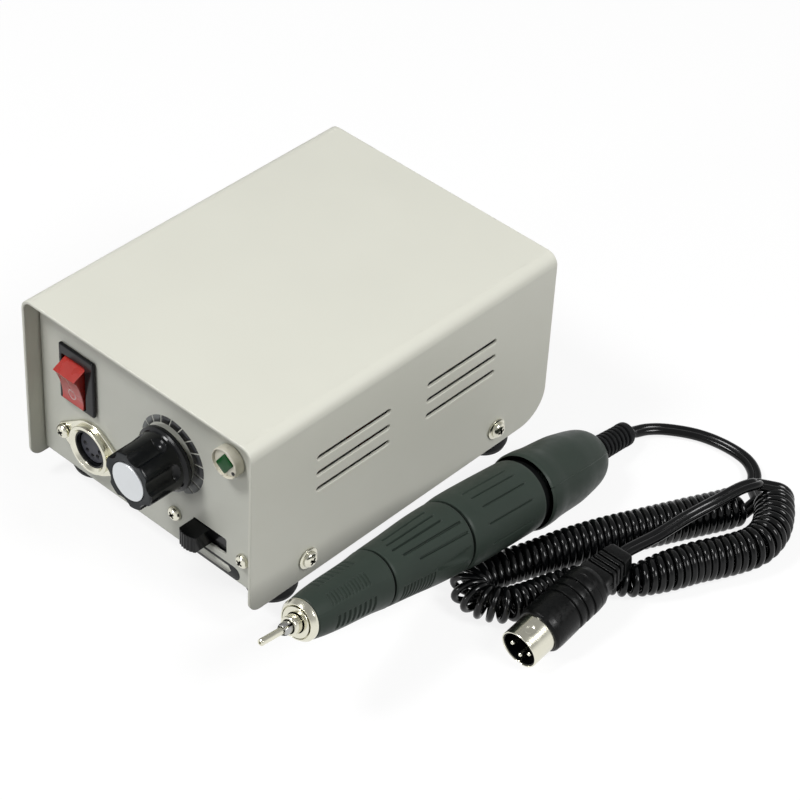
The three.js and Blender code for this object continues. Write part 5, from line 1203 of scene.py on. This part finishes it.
# Fine lines of the motor barrel: where each lies about it, its start and its end
LINES = [(96, 6.5, 29), (81.5, 7, 30), (62, 8.2, 31), (36, 7.6, 31), (3.5, 8.6, 30)]


def barrel_radius(share):
    return MOTOR_RADIUS * share_at(MOTOR, share)


def barrel_cut(angle, share):
    return lines_cut(angle, share * MOTOR_LENGTH, LINES, 0.55, 0.4, 1.5, 0.4)


barrel = skin_rings(MOTOR_START, MOTOR_LENGTH, 90, 480, barrel_radius, barrel_cut, (0.3, 0, 2))
inside = lathe([(12.6, MOTOR_END), (11.2, MOTOR_END), (11.2, 75.5), (4.6, 75.5), (4.6, 20.6), (6.5, 20.6),
                (6.5, 32.9), (8, 32.9), (8, MOTOR_START - 0.05), (12.1, MOTOR_START)], 72)
store("motor_barrel", merged(loft(barrel, caps=False), inside), HANDPIECE, "handpiece_coat",
      nodes=["motor_housing"], angle=40)

CAP_SEAM = 37
END_SHARE, END_RADIUS, LAST_RADIUS = 0.94, 0.572, 0.36


def cap_radius(share):
    if share < END_SHARE:
        return CAP_RADIUS * share_at(CAP, share)
    rounding = ((share - END_SHARE) / (1 - END_SHARE)) ** 0.7
    return CAP_RADIUS * (END_RADIUS - (END_RADIUS - LAST_RADIUS) * rounding)


def cap_cut(angle, share):
    return -ridge(angle, CAP_SEAM, 0.2, 0.65)


cap = skin_rings(CAP_FRONT, CAP_LENGTH, 70, 720, cap_radius, cap_cut, (0.25, 0, 2))
cap_inside = lathe([(4.9, CAP_END), (3.6, CAP_END), (3.6, 150.5), (6.2, 147.5), (6.2, 117.6), (8.6, 112),
                    (8.6, CAP_START)], 72)
store("rear_cap_shell", merged(loft(cap, caps=False), cap_inside), HANDPIECE, "handpiece_coat",
      nodes=["rear_cap"], angle=50)
# A dark ring at the bottom of the groove between barrel and cap: painted shade
band("rear_cap_groove", 8.6, 11.6, CAP_START, CAP_FRONT + 0.2, soft=0.15)

RELIEF_START, RELIEF_PITCH, RELIEF_RIBS, RELIEF_GROOVE = 153.8, 2.3, 7, 1.3
relief = [(0, 144.2), (5, 144.2), (5, 147.2), (3.3, 147.2), (3.3, RELIEF_START)]
for i in range(RELIEF_RIBS):
    at = RELIEF_START + RELIEF_PITCH * i
    size = 4.5 - 0.04 * i
    relief += [(size, at, 0.2), (size, at + 1.2, 0.25), (size - RELIEF_GROOVE, at + 1.35, 0.12),
               (size - RELIEF_GROOVE, at + 2.15, 0.12)]
relief += [(4.35, 169.95, 0.3), (4.3, 172.6, 0.5), (0, 172.6)]
store("cord_relief", soft_lathe(relief, 0.15, 48), HANDPIECE, "black_rubber", nodes=["strain_relief"])

# Chuck: hub, slit collet and mandrel
MANDREL_RADIUS = 1.175
COLLET_BORE = MANDREL_RADIUS + FIT
hub = soft_lathe([(2.4, -6.1), (3.2, -6.1, 0.4), (3.2, -3.1, 0.1), (3, -3.1), (3, 61.9), (2.4, 61.9)],
                 0.08, 64, True)
store("spindle_hub", hub, HANDPIECE, "nickel", "rotor_train", ["spindle"])
collet = soft_lathe([(COLLET_BORE, -9.3), (1.7, -9.3, 0.15), (2.1, -8.2, 0.3), (2.1, 20), (COLLET_BORE, 20)],
                    0.05, 48, True)
slits = [moved(box_mesh(9, 0.7, 14, 0, 0, -4), turned_about("Z", turn)) for turn in (35, 125)]
store("collet_jaws", carved(collet, *slits), HANDPIECE, "steel", "collet_and_mandrel", ["collet"])
mandrel = soft_lathe([(0, -17.9), (0.42, -18, 0.05), (0.42, -18.95, 0.1), (0.85, -18.95, 0.15),
                      (MANDREL_RADIUS, -18.6, 0.15), (MANDREL_RADIUS, 12), (0, 12)], 0.05, 40)
store("mandrel_shank", mandrel, HANDPIECE, "nickel", "collet_and_mandrel", ["mandrel"])

# Plug
SHELL_RADIUS, SHELL_WALL, SHELL_END = 6.95, 0.55, 13.1
KEY_ANGLE, KEY_DEPTH, KEY_SPREAD = 269, 0.7, 5.5
DIMPLE_ANGLE, DIMPLE_HEIGHT, DIMPLE_DEPTH, DIMPLE_RADIUS = 81, 4.4, 0.55, 1.45
PINS = [(-3.4, 0.1), (-0.2, 3.6), (3.5, 0.3)]


def shell_ring(height, radius, count=180):
    """A ring of the plug's shell, with its key groove and its dimple."""
    radii = []
    for degrees in map(math.degrees, turns(count)):
        size = radius - KEY_DEPTH * math.exp(-(abs(off(degrees, KEY_ANGLE)) / KEY_SPREAD) ** 4)
        around = math.radians(off(degrees, DIMPLE_ANGLE)) * radius
        away = math.hypot(around, (height - DIMPLE_HEIGHT) * 0.9)
        radii.append(size - DIMPLE_DEPTH * math.exp(-(away / DIMPLE_RADIUS) ** 4))
    return upward_ring(radii, height)


def plug_shell_mesh():
    heights = [0, 0.08, 0.2] + [0.4 + 0.25 * k for k in range(52)] + [SHELL_END]
    rims = [(h, 0.1 * (1 - smooth(h, 0, 0.2))) for h in heights]
    outer = [shell_ring(h, SHELL_RADIUS - rim) for h, rim in rims]
    inner = [shell_ring(h, SHELL_RADIUS - SHELL_WALL + rim) for h, rim in reversed(rims)]
    return loft(outer + inner, closed=True)


store("plug_shell_plated", plug_shell_mesh(), PLUG, "nickel", nodes=["plug_shell"], angle=40)
plug_floor = soft_lathe([(0, 6), (6.05, 6, 0.2), (6.05, 11.7), (0, 11.7)], 0.1, 48)
store("plug_floor", plug_floor, PLUG, "black_vinyl", nodes=["plug_insert"])
# A black ring over the shell's inner wall, so the inside of the shell is dark: painted shade
band("plug_bore_shade", 6.1, 6.35, 0.35, 9, PLUG, "black_vinyl")
pin = soft_lathe([(0, 0.5), (0.5, 0.5, 0.2), (0.78, 1, 0.3), (0.78, 12.3), (0, 12.3)], 0.05, 24)
for i, (x, y) in enumerate(PINS):
    store(f"contact_pin_{i + 1}", pin.copy(), shifted(PLUG, x, y), "nickel", nodes=[f"plug_pin_{i + 1}"])

BODY_START, BODY_END = 9.4, 36.4
BODY_GROOVES = (21.1, 24.6, 28.1)
BOOT_RIBS = (40.5, 42.6, 44.7)


def plug_body_mesh():
    start = BODY_START
    profile = [(0, start + 4), (7.05, start + 4), (7.05, start), (7.6, start, 0.3), (8.2, start + 0.8, 0.6),
               (8.35, start + 3, 2)]
    for at in BODY_GROOVES:
        profile += [(8.15, at - 0.65, 0.2), (7.4, at - 0.4, 0.15), (7.4, at + 0.4, 0.15),
                    (8.15, at + 0.65, 0.25)]
    profile += [(8.1, 31.4, 0.1), (7.85, 31.7, 0.1), (8, 32, 0.1), (7.8, 34, 1.5), (7, 35.7, 1.5),
                (6.2, BODY_END, 0.5), (0, BODY_END)]
    marks = [(33.5, 11.6, 8.8), (39.4, 11.4, 8.6), (39.65, 11.1, 8.3), (39.8, 8.6, 6.4), (40.4, 8.6, 6.4)]
    width, height = 10.8, 8.2
    for at in BOOT_RIBS:
        marks += [(at, width, height), (at + 0.15, width + 0.2, height + 0.2), (at + 1.25, width, height),
                  (at + 1.4, width - 0.4, height - 0.3), (at + 1.5, width - 2.4, height - 2),
                  (at + 2, width - 2.4, height - 2)]
        width, height = width - 0.35, height - 0.2
    marks += [(46.8, 9.7, 7.5), (46.95, 9.9, 7.7), (50.4, 9, 6.8), (51.2, 8.3, 6.2), (51.5, 7.4, 5.4)]
    rings = [level_ring(rounded(rectangle(width, height), 1.1, 5), at) for at, width, height in marks]
    return merged(soft_lathe(profile, 0.1, 96), loft(rings))


store("plug_grip", plug_body_mesh(), PLUG, "plug_rubber", nodes=["plug_body"],
      angle=40)
collar = soft_lathe([(7, 9.35), (7.5, 9.35, 0.2), (7.5, 10.2), (7, 10.2)], 0.05, 72, True)
store("plug_collar", collar, PLUG, "black_vinyl")

# Floor, world and lights. Where the camera, metal or gloss sees them, floor and backdrop are white.
FLOOR_REACH, FLOOR_TONE, FLOOR_GLOW = 4, 0.17, 0.85
WORLD_LIGHT = 0.16
HORIZON, OVERHEAD = 0.05, 0.55
OVERHEAD_GLOW = 0.4
WHITE = (1, 1, 1, 1)


def math_of(tree, operation, first, second):
    node = tree.nodes.new("ShaderNodeMath")
    node.operation = operation
    tree.links.new(first, node.inputs[0])
    if isinstance(second, bpy.types.NodeSocket):
        tree.links.new(second, node.inputs[1])
    else:
        node.inputs[1].default_value = second
    return node.outputs[0]


def blended(tree, kind, *sources, **inputs):
    """A node that adds or mixes the last outputs of two shaders."""
    node = node_of(tree, kind, **inputs)
    for source, socket in zip(sources, list(node.inputs)[-2:]):
        tree.links.new(source.outputs[0], socket)
    return node


corners = [(x, y, 0) for x, y in rectangle(2 * FLOOR_REACH, 2 * FLOOR_REACH)]
floor_mesh = bpy.data.meshes.new("floor")
floor_mesh.from_pydata(corners, [], [(0, 1, 2, 3)])
linked("floor", floor_mesh)
floor_skin = bpy.data.materials.new("floor")
floor_skin.use_nodes = True
tree = floor_skin.node_tree
tree.nodes.remove(tree.nodes["Principled BSDF"])
rays = tree.nodes.new("ShaderNodeLightPath").outputs
seen = math_of(tree, "MAXIMUM", rays["Is Camera Ray"], rays["Is Glossy Ray"])
seen = math_of(tree, "MAXIMUM", seen, rays["Is Transmission Ray"])
diffuse = node_of(tree, "BsdfDiffuse", Color=(FLOOR_TONE, FLOOR_TONE, FLOOR_TONE, 1))
glow = node_of(tree, "Emission", Color=WHITE, Strength=math_of(tree, "MULTIPLY", seen, FLOOR_GLOW))
fed(tree, tree.nodes["Material Output"], Surface=blended(tree, "AddShader", diffuse, glow).outputs[0])
floor_mesh.materials.append(floor_skin)

world = bpy.data.worlds.new("studio")
scene.world = world
world.use_nodes = True
tree = world.node_tree
tree.nodes.clear()
heading = node_of(tree, "SeparateXYZ", Vector=node_of(tree, "TexCoord").outputs["Generated"])
fade = node_of(tree, "MapRange", Value=heading.outputs["Z"], From_Min=HORIZON, From_Max=OVERHEAD, To_Min=1.0,
               To_Max=OVERHEAD_GLOW)
fade.interpolation_type = "SMOOTHSTEP"
lighting, mirrored, backdrop = (node_of(tree, "Background", Color=WHITE, Strength=strength)
                                for strength in (WORLD_LIGHT, fade.outputs["Result"], 1.0))
rays = tree.nodes.new("ShaderNodeLightPath").outputs
mirror_rays = math_of(tree, "MAXIMUM", rays["Is Glossy Ray"], rays["Is Transmission Ray"])
unseen = blended(tree, "MixShader", lighting, mirrored, Fac=mirror_rays)
whole = blended(tree, "MixShader", unseen, backdrop, Fac=rays["Is Camera Ray"])
node_of(tree, "OutputWorld", Surface=whole.outputs[0])


def lamp(name, spot, size, watts):
    data = bpy.data.lights.new(name, "AREA")
    data.size = size
    data.energy = watts
    obj = linked(name, data)
    obj.location = spot
    obj.rotation_mode = "QUATERNION"
    obj.rotation_quaternion = (LAMP_TARGET - Vector(spot)).to_track_quat("-Z", "Y")


LAMP_TARGET = Vector((0, 0, 0.04))
lamp("key", (-0.35, -0.62, 1.1), 0.3, 7.9)
lamp("front", (-0.3, -1.2, 0.4), 0.3, 3.2)
lamp("fill_right", (0.85, 0.15, 0.9), 0.4, 8.7)
